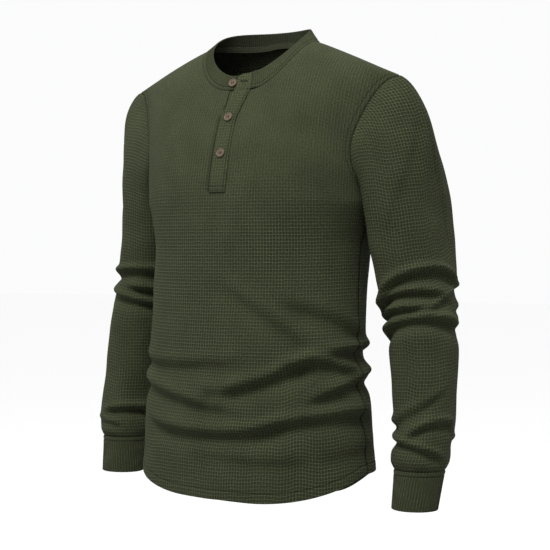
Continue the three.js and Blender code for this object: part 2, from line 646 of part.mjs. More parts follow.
// All the seams
for (const seam of panelSeams) sew(seam, false);
for (const side of ["left", "right"]) {
  const sleeve = sleeves[side];
  const last = sleeve.length - 1;
  const armhole = armholes[side].map((line, k) => {
    const column = side === "left" ? k : (sleeve[0].length - k) % sleeve[0].length;
    return { ...line, far: [sleeve[last][column]], beyond: sleeve[last - 2][column].at };
  });
  sew(armhole, true);
  const wrist = sleeve[0].map((s, i) => {
    const cuff = cuffs[side][i];
    return { near: [s], far: [cuff[2]], within: sleeve[1][i].at, beyond: cuff[1].at };
  });
  sew(wrist, true);
}
sew(
  neckLine.map((line, k) => ({ ...line, far: [band[k][0]], beyond: band[k][1].at })),
  false,
);

// Ends of the neckband: across the slot the band runs straight. The wearer's left end lies over the right.
const bandAcross = (across, lift) => {
  const leftEnd = front[topRow][halfCount].across;
  const share = (leftEnd - across) / (leftEnd + SLOT_HALF);
  return band[0].map((s, r) => raised(between(s, band[band.length - 1][r], share), lift, RIB_CLOTH / 2));
};
const roundCorner = (station) => [station[0], station[1], between(station[1], station[2], BAND_CORNER)];
const bandStations = [
  roundCorner(bandAcross(BAND_OVER_END, BAND_LAP_LIFT)),
  bandAcross(BAND_OVER_END + 5, BAND_LAP_LIFT),
  bandAcross(BAND_UNDER_END + 2, BAND_LAP_LIFT),
  ...band,
  bandAcross(BAND_UNDER_END - 5, 0),
  roundCorner(bandAcross(BAND_UNDER_END, 0)),
];

// Stations no further apart than a few ribs, so that the plain inside follows the ribs
const ribStations = [bandStations[0]];
const bandRibs = [];
for (let k = 1; k < bandStations.length; k++) {
  const [from, to] = [bandStations[k - 1], bandStations[k]];
  const ribs = max(1, round(from[1].at.distanceTo(to[1].at) / BAND_RIB_PITCH));
  const parts = Math.ceil(ribs / BAND_RIBS_PER_STATION);
  for (let part = 1; part <= parts; part++) {
    ribStations.push(part === parts ? to : from.map((s, r) => between(s, to[r], part / parts)));
    bandRibs.push(max(1, round(ribs / parts)));
  }
}

// A place on the front panel by row and distance across, and by height
function frontAt(j, across) {
  const row = front[j];
  let i = 0;
  while (i < lastColumn - 1 && row[i + 1].across < across) i++;
  return between(row[i], row[i + 1], (across - row[i].across) / (row[i + 1].across - row[i].across));
}

function frontBetween(j, share, across) {
  return between(frontAt(j, across), frontAt(j + 1, across), share);
}

// A placket strip made from the front's places, moved out of the cloth by a level
function placketGrid(columns, level, opens) {
  const [below, above] = [front[slotRow - 1][halfCount].at.z, front[slotRow][halfCount].at.z];
  const share = (PLACKET_END_Z - below) / (above - below);
  const grid = [columns.map((across) => frontBetween(slotRow - 1, share, across))];
  for (let j = slotRow; j <= topRow; j++) {
    const shift = opens ? front[j][halfCount].across - SLOT_HALF : 0;
    const at = (across) => (j < topRow ? frontAt(j, across + shift) : frontBetween(j - 1, 0.97, across + shift));
    grid.push(columns.map(at));
  }
  return grid.map((row) => row.map((s) => raised(s, level, CLOTH / 2)));
}
const placketLevel = CLOTH + SEAM_GAP;
const upperPlacket = placketGrid(UPPER_PLACKET_COLUMNS, placketLevel, true);
const underPlacket = placketGrid(UNDER_PLACKET_COLUMNS, -placketLevel, false);

// Buttons: a disc with a raised rim and four holes, cut once and set on the cloth in three places
const wasm = await Module();
wasm.setup();
const { Manifold } = wasm;
const dish = Manifold.cylinder(BUTTON.thick, BUTTON.radius - BUTTON.rim, -1, 32).translate([
  0,
  0,
  BUTTON.thick - BUTTON.dish,
]);
const spots = [45, 135, 225, 315].map((turn) =>
  Manifold.cylinder(3 * BUTTON.thick, BUTTON.hole, -1, 10).translate([
    BUTTON.holeFromMiddle * cos(radians(turn)),
    BUTTON.holeFromMiddle * sin(radians(turn)),
    -BUTTON.thick,
  ]),
);
const disc = Manifold.cylinder(BUTTON.thick, BUTTON.radius, -1, 32).subtract(Manifold.union([dish, ...spots]));
const discMesh = disc.getMesh();

// A button stands on a place with its back a gap off the surface at a level
function buttonGeometry(at, out, up, level) {
  const sideways = up.clone().cross(out).normalize();
  const along = out.clone().cross(sideways);
  const points = [];
  for (let v = 0; v < discMesh.numVert; v++) {
    const [x, y, z] = discMesh.vertProperties.slice(v * discMesh.numProp, v * discMesh.numProp + 3);
    const p = at
      .clone()
      .addScaledVector(sideways, x)
      .addScaledVector(along, y)
      .addScaledVector(out, z + level);
    points.push(p.x, p.y, p.z);
  }
  return geometryOf(points, [...discMesh.triVerts]);
}

// The way out of a flat cell is taken from its corners
function buttonOnPlacket(z) {
  let j = 0;
  while (upperPlacket[j + 1][1].at.z < z) j++;
  const [below, above] = [upperPlacket[j], upperPlacket[j + 1]];
  const share = (z - below[1].at.z) / (above[1].at.z - below[1].at.z);
  const at = below[1].at.clone().lerp(below[2].at, 0.5).lerp(above[1].at.clone().lerp(above[2].at, 0.5), share);
  const along = below[2].at.clone().sub(below[1].at);
  const up = above[1].at.clone().sub(below[1].at);
  return buttonGeometry(at, along.cross(up).normalize(), up.normalize(), CLOTH / 2 + BUTTON.gap);
}

function buttonOnBand(across) {
  const [low, , high] = bandAcross(across, 0);
  const up = high.at.clone().sub(low.at).normalize();
  const along = bandAcross(across + 5, 0)[0].at.clone().sub(low.at);
  const at = low.at.clone().lerp(high.at, 0.45);
  return buttonGeometry(at, along.cross(up).normalize(), up, RIB_CLOTH / 2 + BAND_RIB + BUTTON.gap);
}

const knit = { front: "#484c39", back: "#454936", sleeve: "#3f432f", cuff: "#383b2b", band: "#484c39", placket: "#4a4e3b" };
const shirt = new THREE.Group();
shirt.name = "henley_shirt";

function addPiece(name, geometry, color) {
  const material = new THREE.MeshStandardMaterial({ name, color, roughness: 0.92, metalness: 0 });
  const mesh = new THREE.Mesh(geometry, material);
  mesh.name = name;
  shirt.add(mesh);
}

const slotCut = (j, i) => !(j >= slotRow && i === halfCount - 1);
addPiece("front", wallGeometry(front, { keep: slotCut }), knit.front);
addPiece("back", wallGeometry(back), knit.back);
for (const side of ["left", "right"]) {
  addPiece(`sleeve_${side}`, wallGeometry(sleeves[side], { closed: true }), knit.sleeve);
  const cuffRibs = cuffs[side].map(() => CUFF_RIBS_PER_SIDE);
  addPiece(`cuff_${side}`, ribbedGeometry(cuffs[side], cuffRibs, CUFF_RIB, true), knit.cuff);
}
addPiece("neckband", ribbedGeometry(ribStations, bandRibs, BAND_RIB, false), knit.band);
addPiece("placket_upper", wallGeometry(upperPlacket), knit.placket);
addPiece("placket_under", wallGeometry(underPlacket), knit.placket);
addPiece("button_top", buttonOnBand(BUTTON_TOP_ACROSS), BUTTON_COLOR);
addPiece("button_middle", buttonOnPlacket(BUTTON_MIDDLE_Z), BUTTON_COLOR);
addPiece("button_bottom", buttonOnPlacket(BUTTON_BOTTOM_Z), BUTTON_COLOR);

export default shirt;
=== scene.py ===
import math

import bpy
import numpy as np
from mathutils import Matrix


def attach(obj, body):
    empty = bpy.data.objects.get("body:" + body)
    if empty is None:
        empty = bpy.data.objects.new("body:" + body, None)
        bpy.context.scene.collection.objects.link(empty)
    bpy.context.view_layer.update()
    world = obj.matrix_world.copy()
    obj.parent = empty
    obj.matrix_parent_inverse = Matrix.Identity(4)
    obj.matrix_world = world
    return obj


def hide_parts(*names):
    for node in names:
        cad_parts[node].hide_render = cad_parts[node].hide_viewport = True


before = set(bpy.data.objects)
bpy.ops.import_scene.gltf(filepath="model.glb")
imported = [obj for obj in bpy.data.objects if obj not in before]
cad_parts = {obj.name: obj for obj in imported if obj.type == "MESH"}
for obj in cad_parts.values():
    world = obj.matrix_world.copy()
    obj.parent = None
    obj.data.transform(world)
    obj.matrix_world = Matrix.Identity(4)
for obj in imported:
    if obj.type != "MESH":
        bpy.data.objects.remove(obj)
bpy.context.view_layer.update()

# Front and back panels
# Two panels of cotton waffle knit, cut flat and sewn at the sides and shoulders. The front has a slot
# for the placket. Their hem is turned up and stitched, and lies in a shirt-tail curve.

CLOTH_HALF = 0.9
ARMPIT_Z = -242
HEM_FRONT_Z = -675
HEM_SIDE_Z = -634
HEM_BACK_Z = -690
HEM_SPREAD = 66
HEM_TILT = 4.75
FRONT_CROWN = 1.45
BACK_CROWN = 2.4
SHOULDER_CROWN = 2.4
SHOULDER_Y = -5
SHOULDER_SLOPE = 0.36
SHOULDER_DROP = 0.06
SHOULDER_DROP_FROM = 25
NECK_BOW = 0.001
NECK_HALF = 94
SHOULDER_DRAW = 0.93
SHOULDER_ACROSS = 233 / SHOULDER_DRAW
NECK_ACROSS = NECK_HALF / SHOULDER_DRAW
ARMHOLE_IN = {-1: 189, 1: 199}
ARMHOLE_SCOOP = 0.34
ARMHOLE_RISE = 0.1
ARMHOLE_TOP = 0.88
NECK_CROWN = {-1: 0.515, 1: 0.7}
SLOT_HALF = 11
PLACKET_END_Z = -228
PLACKET_OPEN_SHIFT = 15
PLACKET_OPEN_Z = -128
PLACKET_TOP_Z = -62
UPPER_PLACKET = (-14, 14)
UNDER_PLACKET = (-15, 13)
# Length along the cloth from the height of the armpits to the shoulder line, and a length past every dip
CROWN_LONG = 260
FAR = 400
# Rows of stitches: along the hem above its edge, and beside the armholes' seams
HEM_STITCH = 14
ARMHOLE_STITCH = 8
# Above this height the knit is worn smoother, fully so over the next length
WORN_FROM_Z = -310
WORN_LONG = 170
WORN_MOST = 0.55
OLIVE = (0.0385, 0.0445, 0.0225)
# The colour of the inner faces, about half the outer one: painted shade for the inside of the cloth
OLIVE_SHADED_INSIDE = (0.02, 0.0225, 0.0125)
THREAD = (0.03, 0.034, 0.019)

# Rings of the body: z, half width, front depth, back depth, y of the middle, superellipse power
BODY_RINGS = np.array(
    [
        (-720, 196, 126, 122, -20, 2.15),
        (-640, 190, 122, 119, -22, 2.15),
        (-560, 185, 119, 115, -24, 2.15),
        (-470, 178, 116, 112, -25, 2.15),
        (-390, 173, 117, 114, -19, 2.2),
        (-310, 171, 124, 121, -9, 2.25),
        (-274, 178, 129, 122, -4, 2.3),
        (-242, 188, 132, 122, -1, 2.3),
    ],
    float,
)

# Folds of the body: angle round it and height where the fold starts and ends, bow, depth, half width, lip.
# Angle 0 is the front middle, 90 the wearer's left side seam and 180 the back middle.
BODY_FOLDS = [
    (-8, -534, 62, -470, -6, 8.5, 12, 0.8),
    (30, -492, 92, -508, 17, 8.5, 11, 0.8),
    (-58, -572, 44, -570, -18, 8, 12, 0.8),
    (12, -588, 106, -562, 14, 8, 11, 0.8),
    (46, -542, 120, -500, 8, 8, 10, 0.8),
    (56, -468, 126, -466, 2, 9, 10, 0.8),
    (-6, -364, 58, -474, 2, 4.5, 16, 0.5),
    (28, -396, 104, -462, 10, 5, 14, 0.5),
    (-98, -470, 20, -478, -16, 5, 12, 0.6),
    (-96, -508, 20, -562, 3, 6.5, 12, 0.7),
    (-20, -608, 60, -616, -12, 3, 12, 0.4),
    (50, -622, 112, -606, 4, 2.5, 12, 0.4),
    (96, -505, 200, -482, -20, 7.5, 12, 0.8),
    (130, -552, 262, -545, -18, 7.5, 12, 0.8),
    (160, -455, 268, -472, 16, 6.5, 12, 0.7),
    (110, -425, 215, -432, -14, 5, 13, 0.6),
    (176, -588, 290, -602, 10, 3, 12, 0.4),
]


def smooth(t):
    t = np.clip(t, 0, 1)
    return t * t * (3 - 2 * t)


def mix(a, b, t):
    return a + (b - a) * t


def hermite(start, leave, end, arrive, t):
    t2, t3 = t * t, t * t * t
    between = start * (2 * t3 - 3 * t2 + 1) + end * (3 * t2 - 2 * t3)
    return between + leave * (t3 - 2 * t2 + t) + arrive * (t3 - t2)


def from_table(table, column, z):
    """One column of a table at heights z, smoothly between the table's rows."""
    at, value = table[:, 0], table[:, column]
    last = len(at) - 1
    i = np.clip(np.searchsorted(at, z) - 1, 0, last - 1)
    before, after = np.maximum(i - 1, 0), np.minimum(i + 2, last)
    run = at[i + 1] - at[i]
    leave = (value[i + 1] - value[before]) / (at[i + 1] - at[before]) * run
    arrive = (value[after] - value[i]) / (at[after] - at[i]) * run
    return hermite(value[i], leave, value[i + 1], arrive, np.clip((z - at[i]) / run, 0, 1))


def fold_height(folds, turn, z):
    """How far out a table of folds moves the cloth, at angles and heights."""
    height = np.zeros(np.broadcast(turn, z).shape)
    for turn0, z0, turn1, z1, bow, deep, wide, lip in folds:
        for lap in (-360, 0, 360):
            along = (turn + lap - turn0) / (turn1 - turn0)
            path = mix(z0, z1, along) + bow * 4 * along * (1 - along)
            across = (z - path) / wide
            trough = np.exp(-((across / np.where(across > 0, 0.8, 1.35)) ** 2))
            bulge = lip * 0.8 * np.exp(-(((across - 1.45) / 0.8) ** 2))
            height += smooth(np.minimum(along, 1 - along) * 4) * deep * (bulge - trough)
    return height


def quarter_ring(face, z):
    """Points of a quarter of a body ring, from its front or back middle to its side, and lengths."""
    half, power = (from_table(BODY_RINGS, k, z)[..., None] for k in (1, 5))
    depth = from_table(BODY_RINGS, 2 if face < 0 else 3, z)[..., None]
    middle = from_table(BODY_RINGS, 4, z)[..., None]
    a = np.linspace(0, math.pi / 2, 161)
    reach = ((np.sin(a) / half) ** power + (np.abs(np.cos(a)) / depth) ** power) ** (-1 / power)
    x, y = reach * np.sin(a), middle + face * reach * np.cos(a)
    step = np.hypot(np.diff(x), np.diff(y))
    return x, y, np.concatenate([np.zeros(step.shape[:-1] + (1,)), np.cumsum(step, -1)], -1)


def on_quarter(face, z, across):
    """x and y of the points at distances across along the cloth, on the rings at heights z."""
    z, across = np.broadcast_arrays(np.asarray(z, float), np.asarray(across, float))
    x, y, at = quarter_ring(face, z)
    reach = np.minimum(np.abs(across), at[..., -1])[..., None]
    k = np.clip((at < reach).sum(-1, keepdims=True), 1, at.shape[-1] - 1)
    low, high = np.take_along_axis(at, k - 1, -1), np.take_along_axis(at, k, -1)
    t = (reach - low) / (high - low)
    px = mix(np.take_along_axis(x, k - 1, -1), np.take_along_axis(x, k, -1), t)[..., 0]
    py = mix(np.take_along_axis(y, k - 1, -1), np.take_along_axis(y, k, -1), t)[..., 0]
    return np.where(across < 0, -1, 1) * px, py


def shoulder_z(x):
    t = np.abs(x) - NECK_HALF
    outer = SHOULDER_DROP * t * (1 - np.exp(-np.maximum(t, 0) / SHOULDER_DROP_FROM))
    return -SHOULDER_SLOPE * t - np.where(t > 0, outer, NECK_BOW * t * t)


def body_point(face, across, z, crown):
    """Points of the body's middle surface. Crown runs from 0 at the armpits to 1 at the shoulder line."""
    across, z, crown = np.broadcast_arrays(*(np.asarray(v, float) for v in (across, z, crown)))
    x, y = on_quarter(face, np.where(crown > 0, ARMPIT_Z, z), across)
    top_x = across * SHOULDER_DRAW
    middle_power = FRONT_CROWN if face < 0 else BACK_CROWN
    power = mix(middle_power, SHOULDER_CROWN, smooth(np.abs(across) / SHOULDER_ACROSS))
    a = math.pi / 2 * np.clip(crown, 0, 1)
    reach = (np.sin(a) ** power + np.maximum(np.cos(a), 0) ** power) ** (-1 / power)
    up, out = reach * np.sin(a), reach * np.cos(a)
    risen = (
        mix(x, top_x, smooth(up)),
        SHOULDER_Y + (y - SHOULDER_Y) * out,
        ARMPIT_Z + (shoulder_z(top_x) - ARMPIT_Z) * up,
    )
    return np.where((crown > 0)[..., None], np.stack(risen, -1), np.stack([x, y, z], -1))


def armhole_across(face, crown):
    """The outer edge of a body panel above the armpit."""
    armpit = quarter_ring(face, np.array(float(ARMPIT_Z)))[2][-1]
    scoop = np.clip(1 - crown / ARMHOLE_SCOOP, 0, 1) ** 2.4
    rise = np.clip((crown - ARMHOLE_RISE) / (ARMHOLE_TOP - ARMHOLE_RISE), 0, 1) ** 1.15
    inner = ARMHOLE_IN[face]
    return inner + (armpit - inner) * scoop + (SHOULDER_ACROSS - inner) * rise


def hem_z(turn):
    """Height of the shirt-tail hem. It hangs a little lower on the wearer's left."""
    t = np.abs((turn + 540) % 360 - 180)
    from_side = np.hypot(np.abs(90 - t) / HEM_SPREAD, 0.12) - 0.12
    drop = np.where(t < 90, 1 - (1 - np.clip(from_side, 0, 1)) ** 2, smooth((from_side - 0.15) / 0.85))
    level = mix(HEM_SIDE_Z, np.where(t < 90, HEM_FRONT_Z, HEM_BACK_Z), drop)
    return level - HEM_TILT * np.sin(np.radians(turn))


def crown_top(face, share):
    """How far up the crown the neckline lies, at a share of the way from the slot to the shoulder."""
    return mix(NECK_CROWN[face], 1, 1 - np.sqrt(np.clip(1 - share * share, 0, 1)))


def placket_shift(z):
    """How far the unbuttoned top of the upper placket stands over to the wearer's left."""
    return PLACKET_OPEN_SHIFT * smooth((z - PLACKET_OPEN_Z) / (PLACKET_TOP_Z - PLACKET_OPEN_Z))


# Distances from a seam at which columns or rows lie, close together where the cloth dips and is stitched
SEAM_STEPS = np.array([14, 11.5, 9.6, 8.9, 8.4, 8, 7.6, 7.1, 5.8, 3.9, 2.7, 1.9, 1.3, 0.8, 0.4, 0])
HEM_STEPS = np.array([0, 0.3, 0.7, 1.2, 2, 3.5, 6, 9, 11.5, 12.9, 13.5, 14, 14.5, 15.1, 16.5, 19])
NECK_COLUMNS = 26
SIDE_COLUMNS = 36
LOWER_ROWS = 150
UPPER_ROWS = 66
ARMPIT_ROW = len(HEM_STEPS) + LOWER_ROWS - 1
SLOT_COLUMNS = 6

neck_share = np.sin(math.pi / 2 * np.arange(NECK_COLUMNS + 1) / NECK_COLUMNS)
half_count = len(neck_share) + SIDE_COLUMNS + len(SEAM_STEPS) - 1
CAD_NECK_SHARE = (NECK_ACROSS - SLOT_HALF) / (SHOULDER_ACROSS - SLOT_HALF)


def panel_half(face, side):
    """The across distance, angle, height and crown of one half of a panel, from the middle to the side."""
    upper = np.concatenate(
        [
            np.linspace(0, 0.1, 12)[1:],
            np.linspace(0.1, 1 - SEAM_STEPS[0] / CROWN_LONG, UPPER_ROWS)[1:],
            1 - SEAM_STEPS[1:] / CROWN_LONG,
        ]
    )
    rows = ARMPIT_ROW + 1
    station = np.concatenate([np.zeros(rows), upper])[:, None]
    columns = np.arange(half_count)[None, :]
    in_neck = columns <= NECK_COLUMNS
    share = np.concatenate([neck_share, np.ones(half_count - len(neck_share))])[None, :]
    t = np.clip((columns - NECK_COLUMNS) / (half_count - 1 - NECK_COLUMNS), 0, 1)
    turn = 90 * np.where(in_neck, CAD_NECK_SHARE * share, mix(CAD_NECK_SHARE, 1, t)) * side
    z = np.zeros((rows + len(upper), half_count))
    up_share = (np.arange(1, LOWER_ROWS + 1) / LOWER_ROWS)[:, None]
    above_armpit = np.full((len(upper), half_count), float(ARMPIT_Z))
    # The hem's height follows the angle and the angle follows the width at that height, so they settle
    for _ in range(3):
        hem = hem_z(turn if face < 0 else 180 - turn)
        hems = np.broadcast_to(hem, z.shape)
        turned_up = hems[: len(HEM_STEPS)] + HEM_STEPS[:, None]
        lower = mix(hems[:LOWER_ROWS] + HEM_STEPS[-1], ARMPIT_Z, up_share)
        z = np.concatenate([turned_up, lower, above_armpit])
        edge = np.where(station > 0, armhole_across(face, station), quarter_ring(face, z)[2][..., -1])
        near_edge = columns > NECK_COLUMNS + SIDE_COLUMNS
        side_share = np.clip((columns - NECK_COLUMNS) / SIDE_COLUMNS, 0, 1)
        inner = mix(NECK_ACROSS, edge - SEAM_STEPS[0], side_share)
        from_edge = SEAM_STEPS[np.clip(columns - NECK_COLUMNS - SIDE_COLUMNS, 0, len(SEAM_STEPS) - 1)]
        beyond_neck = np.where(near_edge, edge - from_edge, inner)
        across = np.where(in_neck, mix(SLOT_HALF, NECK_ACROSS, share), beyond_neck)
        outer_share = CAD_NECK_SHARE + (1 - CAD_NECK_SHARE) * (across - NECK_ACROSS) / (edge - NECK_ACROSS)
        turn = 90 * side * np.where(in_neck, CAD_NECK_SHARE * share, outer_share)
    crown = station * crown_top(face, share)
    below_top = (1 - station) * CROWN_LONG * crown_top(face, share) + np.where(station > 0, 0, FAR)
    return {
        "across": side * across,
        "turn": turn,
        "z": z,
        "crown": crown,
        "share": np.broadcast_to(share, across.shape),
        "to_edge": edge - across,
        "to_top": np.broadcast_to(below_top, across.shape),
        "to_hem": np.where(station > 0, FAR, z - hem),
    }


def joined_halves(face):
    """Both halves of a panel side by side, with a few columns between them across the placket's slot."""
    left, right = panel_half(face, 1), panel_half(face, -1)
    middle = np.linspace(0, 1, SLOT_COLUMNS + 2)[1:-1][None, :]
    made = {}
    for key in left:
        a, b = right[key][:, ::-1], left[key]
        made[key] = np.concatenate([a, mix(a[:, -1:], b[:, :1], middle), b], 1)
    return made


def normals(points, closed=False):
    """Ways out of a grid of points, whose rows go up and whose columns go anticlockwise seen from above."""
    if closed:
        points = np.concatenate([points[:, -2:-1], points, points[:, 1:2]], 1)
    across = np.gradient(points, axis=1)
    up = np.gradient(points, axis=0)
    out = np.cross(across, up)
    out /= np.maximum(np.linalg.norm(out, axis=-1, keepdims=True), 1e-9)
    return out[:, 1:-1] if closed else out


def lengths_up(points):
    """Length along each column of a grid, from its first row."""
    step = np.linalg.norm(np.diff(points, axis=0), axis=-1)
    return np.concatenate([np.zeros((1, points.shape[1])), np.cumsum(step, 0)], 0)


def lengths_across(points, start):
    """Length along each row of a grid, from its column number start."""
    step = np.linalg.norm(np.diff(points, axis=1), axis=-1)
    along = np.concatenate([np.zeros((points.shape[0], 1)), np.cumsum(step, 1)], 1)
    return along - along[:, start : start + 1]


def seam_dip(distance, deep=0.75, wide=1.3):
    """How far the cloth turns in beside a seam."""
    return -deep * np.exp(-((distance / wide) ** 2))


def stitch_dip(distance, at, deep=0.45, wide=0.75):
    """How far a row of stitches at a distance from an edge pulls the cloth in."""
    return -deep * np.exp(-(((distance - at) / wide) ** 2))


def cut_edge(distance, half):
    """The half thickness of a wall that is rounded at its free edge."""
    return half * np.sqrt(np.clip(1 - np.clip(1 - distance / half, 0, 1) ** 2, 0.02, 1))


def wall(name, outer, inner, uv, keep=None, **marks):
    """A wall of cloth between two grids of points in mm, with its rims. keep says which cells are there.

    marks are how much painted shade (dark) or wear (worn) each outer point has, from 0 to 1.
    """
    rows, columns = outer.shape[:2]
    if keep is None:
        keep = np.ones((rows - 1, columns - 1), bool)
    index = np.arange(rows * columns).reshape(rows, columns)
    a, b, c, d = index[:-1, :-1], index[:-1, 1:], index[1:, 1:], index[1:, :-1]
    e, f, g, h = (x + rows * columns for x in (a, b, c, d))
    padded = np.pad(keep, 1)
    open_below = keep & ~padded[:-2, 1:-1]
    open_above = keep & ~padded[2:, 1:-1]
    open_before = keep & ~padded[1:-1, :-2]
    open_after = keep & ~padded[1:-1, 2:]
    quads = np.concatenate(
        [
            np.stack([k[where] for k in corners], -1)
            for corners, where in (
                ((a, b, c, d), keep),
                ((e, h, g, f), keep),
                ((a, e, f, b), open_below),
                ((c, g, h, d), open_above),
                ((d, h, e, a), open_before),
                ((b, f, g, c), open_after),
            )
        ]
    )
    points = np.concatenate([outer.reshape(-1, 3), inner.reshape(-1, 3)]) / 1000
    cloth = np.concatenate([uv.reshape(-1, 2)] * 2) / 1000
    used, quads = np.unique(quads, return_inverse=True)
    made = mesh_object(name, points[used], quads.reshape(-1, 4), cloth[used])
    # Inner faces take the second material, which for most pieces is the darker colour of painted shade on
    # the inside
    inside = np.zeros(len(made.data.polygons), np.int32)
    inside[keep.sum() : 2 * keep.sum()] = 1
    made.data.polygons.foreach_set("material_index", inside)
    for mark, values in marks.items():
        values = np.broadcast_to(values, (rows, columns)).ravel()
        values = np.concatenate([values, np.zeros_like(values)])[used]
        attribute = made.data.attributes.new(mark, "FLOAT", "POINT")
        attribute.data.foreach_set("value", values.astype(np.float32))
    return made


def new_object(name, data):
    made = bpy.data.objects.new(name, data)
    bpy.context.scene.collection.objects.link(made)
    return made


def mesh_object(name, points, faces, cloth, sharp=50):
    """A smooth-shaded mesh. cloth holds each point's place on the flat cloth, in metres."""
    mesh = bpy.data.meshes.new(name)
    mesh.from_pydata(points.tolist(), [], faces.tolist() if hasattr(faces, "tolist") else faces)
    mesh.polygons.foreach_set("use_smooth", np.ones(len(mesh.polygons), bool))
    mesh.set_sharp_from_angle(angle=math.radians(sharp))
    corner = np.zeros(len(mesh.loops), np.int32)
    mesh.loops.foreach_get("vertex_index", corner)
    mesh.uv_layers.new(name="cloth").data.foreach_set("uv", cloth[corner].astype(np.float32).ravel())
    return new_object(name, mesh)


# Long shallow waves of the cloth: turn for each degree round it and each mm up it, phase, and size in mm
LONG_WAVES = [
    (0.065, 0.021, 0.4, 0.45),
    (-0.041, 0.043, 1.9, 0.4),
    (0.11, -0.033, 4.1, 0.3),
    (0.02, 0.086, 2.6, 0.22),
]


def unevenness(turn, z):
    return sum(size * np.sin(turn * p + z * q + phase) for p, q, phase, size in LONG_WAVES)


def panel(face):
    """A panel's middle surface with its folds, and what is known of each of its points."""
    grid = joined_halves(face)
    left_of_slot = (grid["across"] > 0) & (face < 0)
    flat_z = body_point(face, grid["across"], grid["z"], grid["crown"])[..., 2]
    opens = np.where(left_of_slot & (np.abs(grid["across"]) >= SLOT_HALF), 1 - grid["share"], 0)
    grid["across"] = grid["across"] + placket_shift(flat_z) * opens
    points = body_point(face, grid["across"], grid["z"], grid["crown"])
    if face > 0:
        grid = {key: value[:, ::-1] for key, value in grid.items()}
        points = points[:, ::-1]
        grid["turn"] = 180 - grid["turn"]
    out = normals(points)
    side = np.sign(points[..., 0])
    at_side = smooth(1 - grid["to_edge"] / 6) * (grid["crown"] <= 0)
    sideways = np.stack([side, np.zeros_like(side), np.zeros_like(side)], -1)
    out = mix(out, sideways, at_side[..., None])
    out /= np.linalg.norm(out, axis=-1, keepdims=True)
    height = fold_height(BODY_FOLDS, grid["turn"], points[..., 2])
    free = smooth(np.minimum(grid["to_edge"], grid["to_top"]) / 25)
    height = height + unevenness(grid["turn"], points[..., 2]) * free
    grid["unfolded"] = points
    grid["points"] = points + out * height[..., None]
    grid["out"] = normals(grid["points"])
    return grid


def panel_wall(name, grid, keep=None):
    """The panel as a wall: it dips at each seam and stitch row, with painted shade in the dips, and is
    rounded at its hem.
    """
    points, out = grid["points"], grid["out"]
    to_side = np.where(grid["crown"] > 0, FAR, grid["to_edge"])
    to_armhole = np.where(grid["crown"] > 0, grid["to_edge"], FAR)
    to_top, to_hem = grid["to_top"], grid["to_hem"]
    dip = seam_dip(to_side, 1.5, 1.9) + seam_dip(to_armhole) + seam_dip(to_top)
    dip += stitch_dip(to_armhole, ARMHOLE_STITCH) + stitch_dip(to_hem, HEM_STITCH, 0.6)
    # The turned-up hem is thicker below its stitches
    dip += 0.35 * smooth((HEM_STITCH - to_hem) / 2)
    if name == "front_panel":
        # The cloth sinks in beside the free edge of the upper placket
        beside = grid["across"] - placket_shift(points[..., 2]) - UPPER_PLACKET[0]
        dip += stitch_dip(beside, -2.6, 1.5, 1.4) * smooth((points[..., 2] - PLACKET_END_Z) / 4)
    half = cut_edge(to_hem, CLOTH_HALF)
    outer = points + out * (half + dip)[..., None]
    inner = points - out * (half - np.minimum(dip, 0) * 0.2)[..., None]
    # Half by length over the folds and half without them, so that the knit's rows shear only a little
    along = (lengths_up(points) + lengths_up(grid["unfolded"])) / 2
    uv = np.stack([grid["across"], along - along[ARMPIT_ROW] + ARMPIT_Z], -1)
    worn = WORN_MOST * smooth((points[..., 2] - WORN_FROM_Z) / WORN_LONG)
    # dark is painted shade in the dips at the side, armhole and top seam, the hem and armhole stitches and
    # the groove beside the upper placket; worn is wear of the knit
    return wall(name, outer, inner, uv, keep, dark=np.clip(-dip, 0, 1) * 0.6, worn=worn)


front_grid, back_grid = panel(-1), panel(1)
slot = np.zeros((front_grid["z"].shape[0] - 1, front_grid["z"].shape[1] - 1), bool)
slot_rows = front_grid["points"][:-1, half_count + 2, 2] > PLACKET_END_Z + 4
slot[:, half_count - 1 : half_count + SLOT_COLUMNS] = slot_rows[:, None]
front = panel_wall("front_panel", front_grid, ~slot)
back = panel_wall("back_panel", back_grid)


def add_node(tree, kind, inputs=(), **settings):
    """A node with its settings, and values or links for its inputs."""
    node = tree.nodes.new(kind)
    for key, value in settings.items():
        setattr(node, key, value)
    for socket, value in dict(inputs).items():
        if isinstance(value, bpy.types.NodeSocket):
            tree.links.new(value, node.inputs[socket])
        else:
            node.inputs[socket].default_value = value
    return node


def shader_node(tree, kind, inputs=(), **settings):
    return add_node(tree, "ShaderNode" + kind, inputs, **settings)


def math_node(tree, operation, a, b=0.0):
    return shader_node(tree, "Math", {0: a, 1: b}, operation=operation).outputs[0]


def spread(tree, value, low, high):
    """A value from 0 to 1 taken to the range from low to high."""
    inputs = {0: value, 1: 0.0, 2: 1.0, 3: low, 4: high}
    return shader_node(tree, "MapRange", inputs, clamp=True).outputs[0]


def noise(tree, place, scale, detail=2.0):
    inputs = {"Vector": place, "Scale": scale, "Detail": detail}
    return shader_node(tree, "TexNoise", inputs, noise_dimensions="2D")


def new_material(name):
    material = bpy.data.materials.new(name)
    material.use_nodes = True
    tree = material.node_tree
    place = shader_node(tree, "UVMap", uv_map="cloth").outputs[0]
    return material, tree, tree.nodes["Principled BSDF"], place


